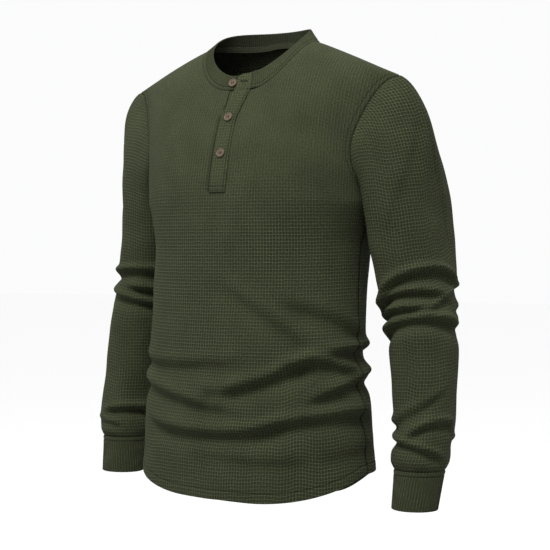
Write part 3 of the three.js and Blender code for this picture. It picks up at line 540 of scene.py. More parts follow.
def knit(name, colour, cell, painted_pit_shade, pit_deep, ribbed=False):
    """Knit with sunk cells between raised ribs both ways, or with ribs only, over a heathered grain, with
    painted shade in its cells and in each piece's dips.
    """
    material, tree, shader, place = new_material(name)
    drift = 0.0003 if ribbed else 0.0009
    drifting = {0: noise(tree, place, 55.0).outputs["Color"], 1: (drift, drift, 0), 2: place}
    moved = shader_node(tree, "VectorMath", drifting, operation="MULTIPLY_ADD").outputs[0]
    split = shader_node(tree, "SeparateXYZ", {0: moved})
    waves = []
    for axis, pitch in enumerate(cell):
        turn = math_node(tree, "MULTIPLY", split.outputs[axis], 2 * math.pi / pitch)
        # 0 on a rib and 1 over a broad hollow, as the cosine is clamped to 0 to 1
        wave = math_node(tree, "SUBTRACT", math_node(tree, "COSINE", turn), 0.12)
        waves.append(spread(tree, wave, 1.0, 0.0))
    worn = shader_node(tree, "Attribute", attribute_name="worn").outputs["Fac"]
    # Where the knit is worn flat its rows fade first, and its upright ribs stay
    rows_left = spread(tree, waves[1], 0.75 if ribbed else spread(tree, worn, 0.2, 1.3), 1.0)
    pit = math_node(tree, "MULTIPLY", waves[0], rows_left)
    yarn = noise(tree, place, 1300.0).outputs[0]
    heather = noise(tree, place, 420.0, 3.0).outputs[0]
    strong = spread(tree, noise(tree, place, 9.0, 1.0).outputs[0], 0.5, 1.5)
    strong = math_node(tree, "MULTIPLY", strong, math_node(tree, "SUBTRACT", 1.0, worn))
    # Painted shade in the knit: the sunk cells are painted darker and the ribs lighter, as light falls into
    # the hollows; strong varies this at random and it fades where the knit is worn
    raised = math_node(tree, "MULTIPLY", math_node(tree, "SUBTRACT", 0.45, pit), painted_pit_shade)
    shade = math_node(tree, "ADD", 1.0, math_node(tree, "MULTIPLY", raised, strong))
    clouds = noise(tree, place, 22.0).outputs[0]
    for pattern, low, high in ((yarn, 0.65, 1.35), (heather, 0.3, 1.7), (clouds, 0.8, 1.2)):
        shade = math_node(tree, "MULTIPLY", shade, spread(tree, pattern, low, high))
    # Painted shade in the dips at each seam, stitch row and slit, from each piece's dark mark
    painted_dip_shade = shader_node(tree, "Attribute", attribute_name="dark").outputs["Fac"]
    shade = math_node(tree, "MULTIPLY", shade, math_node(tree, "SUBTRACT", 1.0, painted_dip_shade))
    tinted = shader_node(tree, "VectorMath", {0: colour, 3: shade}, operation="SCALE").outputs[0]
    tree.links.new(tinted, shader.inputs["Base Color"])
    height = math_node(tree, "SUBTRACT", math_node(tree, "MULTIPLY", yarn, 0.3), pit)
    height = math_node(tree, "ADD", height, math_node(tree, "MULTIPLY", heather, 0.35))
    bump = shader_node(tree, "Bump", {"Height": height, "Distance": pit_deep, "Strength": 1.0}).outputs[0]
    tree.links.new(bump, shader.inputs["Normal"])
    shader.inputs["Roughness"].default_value = 0.95
    shader.inputs["Specular IOR Level"].default_value = 0.08
    shader.inputs["Sheen Weight"].default_value = 0.05
    shader.inputs["Sheen Roughness"].default_value = 0.6
    shader.inputs["Sheen Tint"].default_value = (0.8, 0.85, 0.55, 1)
    return material


def plain(name, colour, roughness):
    material = bpy.data.materials.new(name)
    material.use_nodes = True
    shader = material.node_tree.nodes["Principled BSDF"]
    shader.inputs["Base Color"].default_value = (*colour, 1)
    shader.inputs["Roughness"].default_value = roughness
    shader.inputs["Specular IOR Level"].default_value = 0.1
    return material


def stitch_tree():
    """Nodes that set a small thread stitch every few mm along the edges of a mesh."""
    tree = bpy.data.node_groups.new("stitches_along_a_path", "GeometryNodeTree")
    interface = tree.interface
    interface.new_socket("Geometry", in_out="INPUT", socket_type="NodeSocketGeometry")
    for name in ("Spacing", "Length", "Width"):
        interface.new_socket(name, in_out="INPUT", socket_type="NodeSocketFloat")
    interface.new_socket("Thread", in_out="INPUT", socket_type="NodeSocketMaterial")
    interface.new_socket("Geometry", in_out="OUTPUT", socket_type="NodeSocketGeometry")

    def node(kind, inputs=(), **settings):
        return add_node(tree, kind, inputs, **settings).outputs[0]

    given = add_node(tree, "NodeGroupInput").outputs
    path = node("GeometryNodeMeshToCurve", {"Mesh": given["Geometry"]})
    even = node("GeometryNodeResampleCurve", {"Curve": path, "Length": given["Spacing"]}, mode="LENGTH")
    ball = node("GeometryNodeMeshUVSphere", {"Segments": 6, "Rings": 4, "Radius": 1.0})
    size = node("ShaderNodeCombineXYZ", {0: given["Length"], 1: given["Width"], 2: given["Width"]})
    stitch = node("GeometryNodeTransform", {"Geometry": ball, "Scale": size})
    tangent = node("GeometryNodeInputTangent")
    way = node("FunctionNodeAlignRotationToVector", {"Vector": tangent}, axis="X")
    placed = node("GeometryNodeInstanceOnPoints", {"Points": even, "Instance": stitch, "Rotation": way})
    real = node("GeometryNodeRealizeInstances", {"Geometry": placed})
    soft = node("GeometryNodeSetShadeSmooth", {"Geometry": real})
    done = node("GeometryNodeSetMaterial", {"Geometry": soft, "Material": given["Thread"]})
    tree.links.new(done, add_node(tree, "NodeGroupOutput").inputs[0])
    return tree


STITCH_TREE = stitch_tree()
thread = plain("sewing_thread", THREAD, 0.8)


def stitches(name, node, paths, spacing=3.0, long=2.2, wide=0.6, material=thread):
    """Stitches of a length and width in mm along paths of points in metres, as one plain mesh.

    They are attached to the root body; their node is not used.
    """
    edges, first = [], 0
    for path in paths:
        edges += [(first + k, first + k + 1) for k in range(len(path) - 1)]
        first += len(path)
    mesh = bpy.data.meshes.new(name + "_path")
    mesh.from_pydata(np.concatenate(paths).tolist(), edges, [])
    rows = new_object(name + "_path", mesh)
    modifier = rows.modifiers.new("stitches", "NODES")
    modifier.node_group = STITCH_TREE
    sizes = {"Spacing": spacing / 1000, "Length": long / 2000, "Width": wide / 2000, "Thread": material}
    for item in STITCH_TREE.interface.items_tree:
        if item.item_type == "SOCKET" and item.name in sizes:
            modifier[item.identifier] = sizes[item.name]
    bpy.context.view_layer.update()
    made = bpy.data.meshes.new_from_object(rows.evaluated_get(bpy.context.evaluated_depsgraph_get()))
    bpy.data.objects.remove(rows)
    made.name = name
    goes_with(new_object(name, made), node)


def grid_line(points, out, level, row=None, column=None):
    """The points of one row or column of a grid, moved out by a level in mm, in metres."""
    pick = (slice(None), column) if row is None else (row, slice(None))
    return (points[pick] + out[pick] * level) / 1000


def goes_with(piece, node, *materials):
    """A piece gets its materials, outside, inside and others, and is attached to the root body. Its node is
    not used.
    """
    for material in materials:
        piece.data.materials.append(material)
    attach(piece, "root")


def stands_for(piece, node, *materials):
    """A piece gets its materials and takes the place of a CAD node."""
    goes_with(piece, node, *materials)
    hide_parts(node)


body_knit = knit("waffle_body", OLIVE, (0.0045, 0.005), 0.8, 0.0012)
# The inside of the cloth is painted about half as dark as the outside, as painted shade
shaded_inside_knit = knit("waffle_inside_painted_shade", OLIVE_SHADED_INSIDE, (0.005, 0.005), 0.5, 0.0008)
stands_for(front, "front", body_knit, shaded_inside_knit)
stands_for(back, "back", body_knit, shaded_inside_knit)

# The hem's row of stitches, and those beside both armholes
hem_row = list(HEM_STEPS).index(HEM_STITCH)
from_armhole = len(SEAM_STEPS) - 1 - list(SEAM_STEPS).index(ARMHOLE_STITCH)
for name, grid in (("front", front_grid), ("back", back_grid)):
    paths = [grid_line(grid["points"], grid["out"], CLOTH_HALF - 0.25, row=hem_row)]
    for column in (from_armhole, -1 - from_armhole):
        line = grid_line(grid["points"], grid["out"], CLOTH_HALF - 0.2, column=column)
        paths.append(line[ARMPIT_ROW + 1 :])
    stitches(name + "_stitches", name, paths)

# Sleeves
# Tubes of the same waffle knit, set into the armholes, hanging down with the folds at the elbows and
# above the cuffs that the worn sleeve has. The seam runs under the arm.

RIGHT_ARM_LIFT = 16
ARM_LIFT_LONG = 366
SLEEVE_TOP_Z = -272
SLEEVE_END_Z = -628
SLEEVE_HEAD_REACH = 0.82
HEAD_FORWARD = 0.15
HEAD_BACK = 0.7
# How far up the armhole the sleeve's points at 0, 20, 40 and up to 180 degrees are sewn
ARMHOLE_STATIONS = np.array([0, 0.04, 0.1, 0.19, 0.32, 0.48, 0.64, 0.78, 0.9, 1])
SLEEVE_COLUMNS = 112
HEAD_STEPS = [0, 0.004, 0.01, 0.017, 0.027, 0.04, 0.055]
HEAD_ROWS = 62
ARM_ROWS = 178
CUFF_SEAM_STEPS = np.array([8, 6, 4, 2.5, 1.5, 0.8, 0.4, 0])
OLIVE_SLEEVE = (0.039, 0.045, 0.0228)

# Rings of the left arm: z, x, y, half width, half depth, superellipse power, lean
ARM_RINGS = np.array(
    [
        (-628, 264.5, -2.5, 35.5, 35, 2.1, 0),
        (-616, 264.5, 0.5, 40, 43.5, 2.1, 0),
        (-590, 266, 3.5, 41, 45, 2.1, 0),
        (-555, 265, 12, 43, 48, 2.1, 0),
        (-521, 262, 18, 44.5, 49.5, 2.1, 0),
        (-486, 259, 24, 46.5, 52.5, 2.1, 0),
        (-442, 255.5, 25.5, 47.5, 54.5, 2.1, 0.04),
        (-395, 249.5, 29, 49, 56.5, 2.15, 0.08),
        (-348, 240.5, 34, 51, 62, 2.25, 0.13),
        (-305, 234.5, 33, 49, 67, 2.4, 0.17),
        (-272, 232.5, 31.5, 46.5, 69.5, 2.5, 0.18),
    ],
    float,
)

# Folds of a sleeve, as those of the body. Angle 0 faces the body, 90 the front, 180 outwards, 270 the back.
SLEEVE_FOLDS = {
    1: [
        (20, -430, 236, -388, 60, 8.5, 8, 0.9),
        (0, -428, 178, -386, 26, 8, 6.5, 0.9),
        (118, -408, 250, -366, 4, 5.5, 7, 0.7),
        (-20, -436, 140, -400, 10, 9, 7, 0.9),
        (-16, -474, 234, -446, 42, 9, 8, 0.9),
        (150, -130, 85, -330, 0, 1.8, 26, 0.6),
        (178, -140, 208, -310, 0, 1.8, 36, 0.6),
        (10, -580, 165, -512, -6, 4.5, 9, 0.5),
        (76, -590, 196, -574, 18, 6.5, 7, 0.8),
        (-30, -592, 180, -622, 14, 6.5, 6.5, 0.8),
        (200, -402, 350, -384, -12, 7, 9, 0.8),
        (190, -432, 340, -418, 10, 7, 9, 0.8),
        (190, -590, 340, -574, -8, 5.5, 7, 0.8),
        (-40, -575, 60, -570, 4, 4, 8, 0.7),
    ],
    -1: [
        (-5, -362, 180, -366, 14, 8, 7.5, 0.9),
        (-20, -392, 100, -374, 0, 7.5, 6.5, 0.8),
        (-10, -412, 160, -378, -3, 7, 7, 0.8),
        (150, -160, 95, -320, 0, 1.8, 26, 0.6),
        (-30, -580, 120, -578, 8, 7, 7, 0.8),
        (60, -598, 150, -590, 3, 4, 6, 0.7),
        (170, -372, 350, -392, -10, 7, 10, 0.8),
        (190, -408, 340, -420, 8, 7, 9, 0.8),
        (190, -560, 350, -590, 6, 5, 8, 0.8),
    ],
}


def arm_ring(side, turn, z):
    """Points of the arm's rings at angles and heights."""
    turn, z = np.broadcast_arrays(np.asarray(turn, float), np.asarray(z, float))
    x, y, wide, deep, power, lean = (from_table(ARM_RINGS, k, z) for k in range(1, 7))
    a = np.radians(turn)
    reach = ((np.abs(np.cos(a)) / wide) ** power + (np.abs(np.sin(a)) / deep) ** power) ** (-1 / power)
    forward = reach * np.sin(a)
    lift = RIGHT_ARM_LIFT * np.clip((SLEEVE_TOP_Z - z) / ARM_LIFT_LONG, 0, 1) * (side < 0)
    return np.stack([side * (x - reach * np.cos(a) - lean * forward), y - forward, z + lift], -1)


def armhole_points(side, turn):
    """Points of the armhole's seam, from the panels' own edges."""
    cad_turn = np.where(turn <= 180, turn, 360 - turn)
    table = np.stack([np.linspace(0, 180, len(ARMHOLE_STATIONS)), ARMHOLE_STATIONS], -1)
    station = from_table(table, 1, cad_turn)
    found = []
    for grid, column in ((front_grid, -1 if side > 0 else 0), (back_grid, 0 if side > 0 else -1)):
        rows = grid["crown"][ARMPIT_ROW:, column]
        edge = grid["points"][ARMPIT_ROW:, column]
        found.append(np.stack([np.interp(station, rows, edge[:, k]) for k in range(3)], -1))
    return np.where((turn <= 180)[:, None], found[0], found[1])


def sleeve_grid(side):
    """A sleeve's middle surface with its folds, from the cuff seam up to the armhole."""
    turn = np.linspace(0, 360, SLEEVE_COLUMNS + 1)
    start = armhole_points(side, turn)
    end = arm_ring(side, turn, SLEEVE_TOP_Z)
    outward = ((1 - np.cos(np.radians(turn))) / 2) ** 1.5
    underarm = np.exp(-((np.minimum(turn, 360 - turn) / 45) ** 2))
    sideways = -np.sin(np.radians(turn)) * np.where(turn < 180, HEAD_FORWARD, HEAD_BACK)
    away = side * (mix(0.45, 0.92, outward) + 0.55 * underarm)
    leave = np.stack([away, sideways, -mix(0.85, 0.4, outward)], -1)
    arrive = arm_ring(side, turn, SLEEVE_TOP_Z - 2) - end
    stretch = np.linalg.norm(end - start, axis=-1, keepdims=True) * SLEEVE_HEAD_REACH
    leave *= stretch / np.linalg.norm(leave, axis=-1, keepdims=True)
    arrive *= stretch / np.linalg.norm(arrive, axis=-1, keepdims=True)
    t = np.concatenate([HEAD_STEPS, np.linspace(0.075, 1, HEAD_ROWS)])[:, None, None]
    head = hermite(start[None], leave[None], end[None], arrive[None], t)
    down = np.linspace(SLEEVE_TOP_Z, SLEEVE_END_Z + CUFF_SEAM_STEPS[0], ARM_ROWS)
    z = np.concatenate([down[1:], SLEEVE_END_Z + CUFF_SEAM_STEPS[1:]])
    arm = arm_ring(side, turn[None, :], z[:, None])
    points = np.concatenate([head, arm])[::-1]
    if side < 0:
        points, turn = points[:, ::-1], turn[::-1]
    out = normals(points, True)
    from_cuff = lengths_up(points)
    from_armhole = from_cuff[-1:] - from_cuff
    free = smooth(from_armhole / 30) * smooth(from_cuff / 14)
    height = fold_height(SLEEVE_FOLDS[side], turn[None, :], points[..., 2])
    height = (height + unevenness(turn[None, :] * 1.3 + 40 * side, points[..., 2] * 1.3)) * free
    height[:, 0] = height[:, -1] = (height[:, 0] + height[:, -1]) / 2
    folded = points + out * height[..., None]
    return {"points": folded, "turn": turn, "out": normals(folded, True), "unfolded": points}


def sleeve(name, grid):
    """The sleeve as a wall, which dips at the armhole, the cuff and its own seam under the arm."""
    points, out = grid["points"], grid["out"]
    from_cuff = lengths_up(points)
    from_armhole = from_cuff[-1:] - from_cuff
    around = lengths_across(points, SLEEVE_COLUMNS // 2)
    from_seam = np.minimum(np.abs(around - around[:, :1]), np.abs(around - around[:, -1:]))
    dip = seam_dip(from_armhole, 1.0, 1.6) + seam_dip(from_cuff, 0.8, 1.5) + seam_dip(from_seam, 0.4)
    outer = points + out * (CLOTH_HALF + dip)[..., None]
    inner = points - out * CLOTH_HALF
    flat_around = lengths_across(grid["unfolded"], SLEEVE_COLUMNS // 2)
    uv = np.stack([flat_around, (from_cuff + lengths_up(grid["unfolded"])) / 2], -1)
    # dark is painted shade in the dips at the armhole, the cuff and the seam under the arm
    return wall(name, outer, inner, uv, dark=np.clip(-dip, 0, 1) * 0.6)


sleeve_knit = knit("waffle_sleeve", OLIVE_SLEEVE, (0.0045, 0.005), 0.74, 0.0012)
for name, side, flat, area in (("left", 1, (0.46, 0.6), 0.18), ("right", -1, (0.46, 0.59), 0.175)):
    made = sleeve(name + "_sleeve", sleeve_grid(side))
    stands_for(made, "sleeve_" + name, sleeve_knit, shaded_inside_knit)

# Cuffs
# Tubes of ribbed knit, folded double at the wrist, narrower than the sleeves that are gathered into them.
# A narrow flat strip along their top covers the seam.

CUFF = {"length": 56, "top": (35.5, 35), "end": (32.5, 30), "end_x": 262.5, "end_y": -15}
CUFF_HALF = 1.1
CUFF_RIBS = 54
CUFF_RIB_DEEP = 0.8
CUFF_STRIP = 6.5
OLIVE_RIB = (0.0345, 0.0398, 0.0202)


def cuff(name, side):
    """A cuff with real ribs, which fade out under the narrow strip along its seam."""
    per_rib = 8
    turn = np.linspace(0, 360, CUFF_RIBS * per_rib + 1)
    edge = np.array([0, 0.3, 0.7, 1.2, 2])
    under_strip = [3, 4, 5, 5.6, 6.1, 6.6, 7.2, 8.2]
    # The last of the even rows is left out, because the first of the edge's rows lies there
    even = np.linspace(10, CUFF["length"] - edge[-1], 12)[:-1]
    down = np.concatenate([edge, under_strip, even, CUFF["length"] - edge[::-1]])
    share = (down / CUFF["length"])[::-1, None]
    seam = arm_ring(side, turn, SLEEVE_END_Z)
    a = np.radians(turn)
    x = mix(ARM_RINGS[0][1], CUFF["end_x"], share) - mix(CUFF["top"][0], CUFF["end"][0], share) * np.cos(a)
    y = mix(ARM_RINGS[0][2], CUFF["end_y"], share) - mix(CUFF["top"][1], CUFF["end"][1], share) * np.sin(a)
    lift = RIGHT_ARM_LIFT if side < 0 else 0
    z = np.broadcast_to(SLEEVE_END_Z + lift - CUFF["length"] * share, x.shape)
    points = np.stack([side * x, y, z], -1)
    points = mix(points, seam[None] + (points - points[-1:]), smooth(1 - share / 0.35)[..., None])
    if side < 0:
        points, turn = points[:, ::-1], turn[::-1]
    out = normals(points, True)
    down = down[::-1, None]
    ribs = (0.5 + 0.5 * np.cos(np.radians(turn) * CUFF_RIBS)) ** 0.8
    shown = smooth((down - CUFF_STRIP) / 1.6) * smooth((CUFF["length"] - down) / 2 + 0.3)
    ribs = CUFF_RIB_DEEP * (ribs[None, :] - 0.4) * shown
    strip = 0.5 * smooth((CUFF_STRIP - down) / 0.8) + seam_dip(down, 1.2, 1.0)
    strip += stitch_dip(down, CUFF_STRIP + 0.4, 0.7, 0.7)
    half = cut_edge(CUFF["length"] - down, CUFF_HALF)
    outer = points + out * (half + ribs + strip)[..., None]
    inner = points - out * np.broadcast_to(half, ribs.shape)[..., None]
    around = lengths_across(points, len(turn) // 2)
    uv = np.stack([around, np.broadcast_to(-down, around.shape)], -1)
    # dark is painted shade in the dips of the strip's seam and its row of stitches
    return wall(name, outer, inner, uv, dark=np.clip(-strip, 0, 1) * 0.6)


cuff_knit = knit("ribbed_cuff", OLIVE_RIB, (0.0043, 0.003), 0.6, 0.0006, True)
for name, side in (("left", 1), ("right", -1)):
    made = cuff(name + "_cuff", side)
    stands_for(made, "cuff_" + name, cuff_knit, cuff_knit)

# Neckband
# A doubled strip of ribbed knit that stands on the neckline, with a flat stitched strip along its foot. Its
# wearer's left end lies over the right one, unbuttoned, and a narrow tape covers the back neck seam inside.

BAND = {"half": 78, "depth": 63, "middle": -10, "back_z": 28, "drop": 80, "rise": 2.3}
BAND_HALF = 1.1
BAND_RIB_PITCH = 3.1
BAND_RIB_DEEP = 0.7
BAND_STRIP = 5.5
BAND_LAP_LIFT = 2.5
BAND_UNDER_END = 9
BAND_CORNER = 9
BAND_LAP_END = 40
BAND_UNDER_EDGE = 12
FOOT_ROWS = [0, 0.02, 0.04, 0.07, 0.11, 0.16, 0.19, 0.22, 0.25, 0.29]
TOP_ROWS = [0.97, 0.985, 0.995, 1]
# The upper placket's waffle strip runs on up over this much of the band's end
BAND_OVER = 26.5
BUTTONHOLE = {"at": 13, "up": 13, "long": 12}
# Rows of the tape up from the seam, half its thickness, and its depth inside the band
TAPE_UP = np.array([-0.6, -0.4, 0, 0.6, 1.2, 2, 3, 4.2, 5.4, 6.4, 7.2, 7.8, 8.2, 8.4])
TAPE_HALF = 0.55
TAPE_LEVEL = -(BAND_HALF + 0.75)
TAPE = (0.03, 0.0325, 0.02)


def neckline():
    """Dense points of the neckline's seam, from the wearer's left of the slot round the back."""
    share = np.sin(np.linspace(0, math.pi / 2, 200))
    across = mix(SLOT_HALF, NECK_ACROSS, share)
    pieces = []
    for face, side in ((-1, 1), (1, 1), (1, -1), (-1, -1)):
        reach = side * across
        if (face, side) == (-1, 1):
            height = body_point(face, reach, 0, crown_top(face, share))[..., 2]
            reach = reach + placket_shift(height) * (1 - share)
        line = body_point(face, reach, 0, crown_top(face, share))
        pieces.append(line if (face, side) in ((-1, 1), (1, -1)) else line[::-1])
    return np.concatenate([pieces[0], pieces[1][1:], pieces[2], pieces[3][1:]])


def lengths_along(line):
    return np.concatenate([[0], np.cumsum(np.linalg.norm(np.diff(line, axis=0), axis=-1))])


def band_top(seam):
    """The point of the band's top edge over a point of its seam."""
    turn = np.arctan2(seam[..., 0] / BAND["half"], (BAND["middle"] - seam[..., 1]) / BAND["depth"])
    z = BAND["back_z"] - BAND["drop"] * ((1 + np.cos(turn)) / 2) ** BAND["rise"]
    return np.stack([BAND["half"] * np.sin(turn), BAND["middle"] - BAND["depth"] * np.cos(turn), z], -1)


def band_line():
    """The band's seam and top edge all round, with both its ends run on over the slot."""
    line = neckline()
    left, right = line[0], line[-1]
    left_top, right_top = band_top(left), band_top(right)
    slot_wide = np.linalg.norm(left - right)
    over = (slot_wide - SLOT_HALF) / slot_wide
    under = (SLOT_HALF + BAND_UNDER_END) / slot_wide
    before = np.linspace(over, 0, 40)[:-1, None]
    after = np.linspace(0, under, 40)[1:, None]
    seam = np.concatenate([mix(left, right, before), line, mix(right, left, after)])
    top = np.concatenate([mix(left_top, right_top, before), band_top(line), mix(right_top, left_top, after)])
    at = lengths_along((seam + top) / 2)
    ribs = round(at[-1] / BAND_RIB_PITCH)
    places = np.linspace(0, at[-1], 8 * ribs + 1)

    def evenly(line):
        return np.stack([np.interp(places, at, line[:, k]) for k in range(3)], -1)

    return evenly(seam), evenly(top), places


band_seam, band_edge, band_at = band_line()
band_wide = np.linalg.norm(band_edge - band_seam, axis=-1)
corner_in = np.minimum(band_at, band_at[-1] - band_at)
corner_round = 1 - np.sqrt(1 - np.clip(1 - corner_in / BAND_CORNER, 0, 1) ** 2)
band_high = band_wide - BAND_CORNER * corner_round
rows_up = np.concatenate([FOOT_ROWS, np.linspace(0.34, 0.95, 11), TOP_ROWS])
up_mm = rows_up[:, None] * band_high[None, :]
to_top = band_high[None, :] - up_mm
band_points = mix(band_seam[None], band_edge[None], (up_mm / band_wide)[..., None])
band_out = normals(band_points)
lap = BAND_LAP_LIFT * smooth((BAND_LAP_END - band_at) / 12)
ribs = (0.5 + 0.5 * np.cos(band_at / BAND_RIB_PITCH * 2 * math.pi)) ** 0.8 - 0.5
on_band = smooth((band_at - BAND_OVER) / 2)[None, :]
under_end = band_at[-1] - band_at[None, :]
ribs = BAND_RIB_DEEP * ribs[None, :] * smooth((up_mm - BAND_STRIP) / 1.5) * smooth(to_top / 1.5)
ribs = ribs * on_band * mix(0.4, 1, smooth((under_end - BAND_UNDER_EDGE) / 3))
strip = 0.3 * smooth((BAND_STRIP - up_mm) / 0.8) + seam_dip(up_mm, 1.1, 1.1)
strip = (strip + stitch_dip(up_mm, BAND_STRIP + 0.5, 0.7, 0.8)) * on_band
strip += stitch_dip(band_at[None, :], BAND_OVER, 0.9, 0.9)
strip += stitch_dip(under_end, BAND_UNDER_EDGE, 0.9, 1.3)
slit = (band_at[None, :] - BUTTONHOLE["at"]) / (BUTTONHOLE["long"] / 2)
slit = 0.9 * np.exp(-(slit**6) - ((up_mm - BUTTONHOLE["up"]) / 0.75) ** 2)
band_half = cut_edge(np.minimum(to_top, corner_in[None, :] + 0.05), BAND_HALF)
outer = band_points + band_out * (band_half + ribs + strip + lap - slit)[..., None]
inner = band_points - band_out * (band_half - lap + ribs * 0.6)[..., None]
band_uv = np.stack([np.broadcast_to(band_at, up_mm.shape), up_mm], -1)
# dark is painted shade in the buttonhole's slit, in the dips of the foot strip's seam and stitches and in
# the stitch rows at both ends
neckband = wall("neck_band", outer, inner, band_uv, dark=np.clip(slit - strip, 0, 1) * 0.6)
# The over end has the placket's knit outside
over_faces = np.zeros(len(neckband.data.polygons), np.int32)
neckband.data.polygons.foreach_get("material_index", over_faces)
cells = (len(rows_up) - 1) * (len(band_at) - 1)
on_over_end = np.tile(band_at[:-1] < BAND_OVER - 0.3, len(rows_up) - 1)
over_faces[:cells][on_over_end] = 2
neckband.data.polygons.foreach_set("material_index", over_faces)

at_back = np.where(band_seam[:, 1] > SHOULDER_Y + 2)[0][::3]
tape_share = TAPE_UP[:, None] / band_wide[at_back]
tape_points = mix(band_seam[at_back], band_edge[at_back], tape_share[..., None])
tape_out = normals(tape_points)
tape_edge = np.minimum(TAPE_UP - TAPE_UP[0], TAPE_UP[-1] - TAPE_UP)
tape_half = cut_edge(tape_edge, TAPE_HALF)[:, None] * np.ones(len(at_back))
tape_dip = (stitch_dip(TAPE_UP, 1.2, 0.3, 0.6) + stitch_dip(TAPE_UP, 6.4, 0.3, 0.6))[:, None]
neck_tape = wall(
    "neck_tape",
    tape_points + tape_out * (TAPE_LEVEL + tape_half)[..., None],
    tape_points + tape_out * (TAPE_LEVEL - tape_half - tape_dip)[..., None],
    np.stack(np.broadcast_arrays(band_at[at_back], TAPE_UP[:, None]), -1),
)

band_cell = (0.0031, 0.0026)
band_knit = knit("ribbed_band", OLIVE_RIB, band_cell, 0.6, 0.0005, True)
# The band's inside is painted darker as well, as painted shade
band_shaded_inside = knit("ribbed_band_inside_painted_shade", OLIVE_SHADED_INSIDE, band_cell, 0.6, 0.0005, True)
placket_knit = knit("waffle_placket", OLIVE, (0.0046, 0.0046), 0.5, 0.0008)
tape_knit = knit("tape", TAPE, (0.0016, 0.0016), 0.2, 0.0002)
stands_for(neckband, "neckband", band_knit, band_shaded_inside, placket_knit)
goes_with(neck_tape, "neckband", tape_knit, tape_knit)

# Stitches along the foot strip, and the worked edge of the buttonhole
strip_row = np.argmin(np.abs(up_mm.mean(1) - BAND_STRIP - 0.5))
foot_level = (BAND_HALF + lap - 0.25)[:, None]
foot_line = (band_points[strip_row] + band_out[strip_row] * foot_level) / 1000
a = np.linspace(0, 2 * math.pi, 41)
hole_at = BUTTONHOLE["at"] + (BUTTONHOLE["long"] / 2 + 0.6) * np.cos(a)
hole_up = BUTTONHOLE["up"] + 1.35 * np.sin(a)
k = np.searchsorted(band_at, hole_at)
hole_line = mix(band_seam[k], band_edge[k], (hole_up / band_wide[k])[:, None])
hole_line = (hole_line + band_out[12, k] * (BAND_HALF + lap[k] + 0.25)[:, None]) / 1000
stitches("band_stitches", "neckband", [foot_line])
stitches("buttonhole_edge", "neckband", [hole_line], 0.75, 1.3, 1.15)

# Plackets
# Two strips of the waffle knit on the slot of the front: the upper one carries the buttonholes and lies
# over the under one, which carries the buttons. The upper one ends in a double bar of stitches.

PLACKET_LEVEL = 2.38
PLACKET_HALF = 0.8
PLACKET_TOP = 0.999
# The upper strip's lines of stitches: from its buttonhole edge, and up from its lower end
PLACKET_LINE = 24.6
PLACKET_BARS = (2.4, 8.4)
# Share of the crown between rows near the lower end, for each mm between columns near the sides
PLACKET_ROW = 1 / 600

crown_steps = np.linspace(0.0005, NECK_CROWN[-1], 400)
crown_heights = body_point(-1, 0, 0, crown_steps)[..., 2]


def placket(name, edges, level, opens, lines):
    """A strip on the front panel, moved out of it by a level, with a dip along each line of stitches.

    Also its grid, the ways out of it and its columns' places, for the stitches on it.
    """
    low, high = edges
    side_steps = np.array([0, 0.25, 0.6, 1.0, 1.6, 2.2, 2.7, 3.2, 4])
    middle = np.linspace(4, high - low - 4, 14)[1:-1]
    over = low + np.concatenate([side_steps, middle, high - low - side_steps[::-1]])
    start = np.interp(PLACKET_END_Z, crown_heights, crown_steps)
    end = NECK_CROWN[-1] * PLACKET_TOP
    up = np.concatenate([start + side_steps * PLACKET_ROW, np.linspace(start + 5.5 * PLACKET_ROW, end, 110)])
    across = np.broadcast_to(over[None, :], (len(up), len(over))).copy()
    height = body_point(-1, 0, 0, up)[..., 2]
    if opens:
        across += placket_shift(height)[:, None]
    points = body_point(-1, across, 0, up[:, None])
    out = normals(points)
    from_side = np.minimum(over - low, high - over)[None, :]
    from_end = lengths_up(points)
    edge = np.minimum(from_side, from_end)
    half = cut_edge(edge, PLACKET_HALF)
    dip = sum(stitch_dip(over[None, :] - low, line, 0.6, 0.8) for line in lines)
    dip = dip + sum(stitch_dip(from_end, bar, 0.7, 0.9) for bar in PLACKET_BARS)
    level = level - 0.5 * smooth(1 - (high - over) / 2.5)
    outer = points + out * (level + half + dip)[..., None]
    inner = points + out * (level - half)[..., None]
    uv = np.stack([across, from_end + PLACKET_END_Z], -1)
    # dark is painted shade in the dips of its line and bars of stitches
    return wall(name, outer, inner, uv, dark=np.clip(-dip, 0, 1) * 0.6), points, out, over


placket_upper, upper_points, upper_out, upper_over = placket(
    "upper_placket", UPPER_PLACKET, PLACKET_LEVEL, True, (PLACKET_LINE,)
)
placket_under = placket("under_placket", UNDER_PLACKET, -PLACKET_LEVEL, False, ())[0]
for made, node in ((placket_upper, "placket_upper"), (placket_under, "placket_under")):
    stands_for(made, node, placket_knit, shaded_inside_knit)

level = PLACKET_LEVEL + PLACKET_HALF - 0.15
column = np.argmin(np.abs(upper_over - UPPER_PLACKET[0] - PLACKET_LINE))
placket_paths = [grid_line(upper_points, upper_out, level, column=column)]
for bar in PLACKET_BARS:
    row = np.argmin(np.abs(lengths_up(upper_points)[:, 5] - bar))
    placket_paths.append(grid_line(upper_points, upper_out, level, row=row)[2:-2])
stitches("placket_stitches", "placket_upper", placket_paths, 2.4, 1.9)

# Buttons
# Three four-hole buttons of brown coconut or wood, turned with a raised rim. Each is sewn on with dark
# thread, which shows as two bars over its holes.

BUTTON_RADIUS = 6.8
BUTTON_RIM = 0.95
BUTTON_HOLE = 1.4
BUTTON_BROWN = (0.088, 0.061, 0.036)
BUTTON_THREAD = (0.014, 0.015, 0.01)


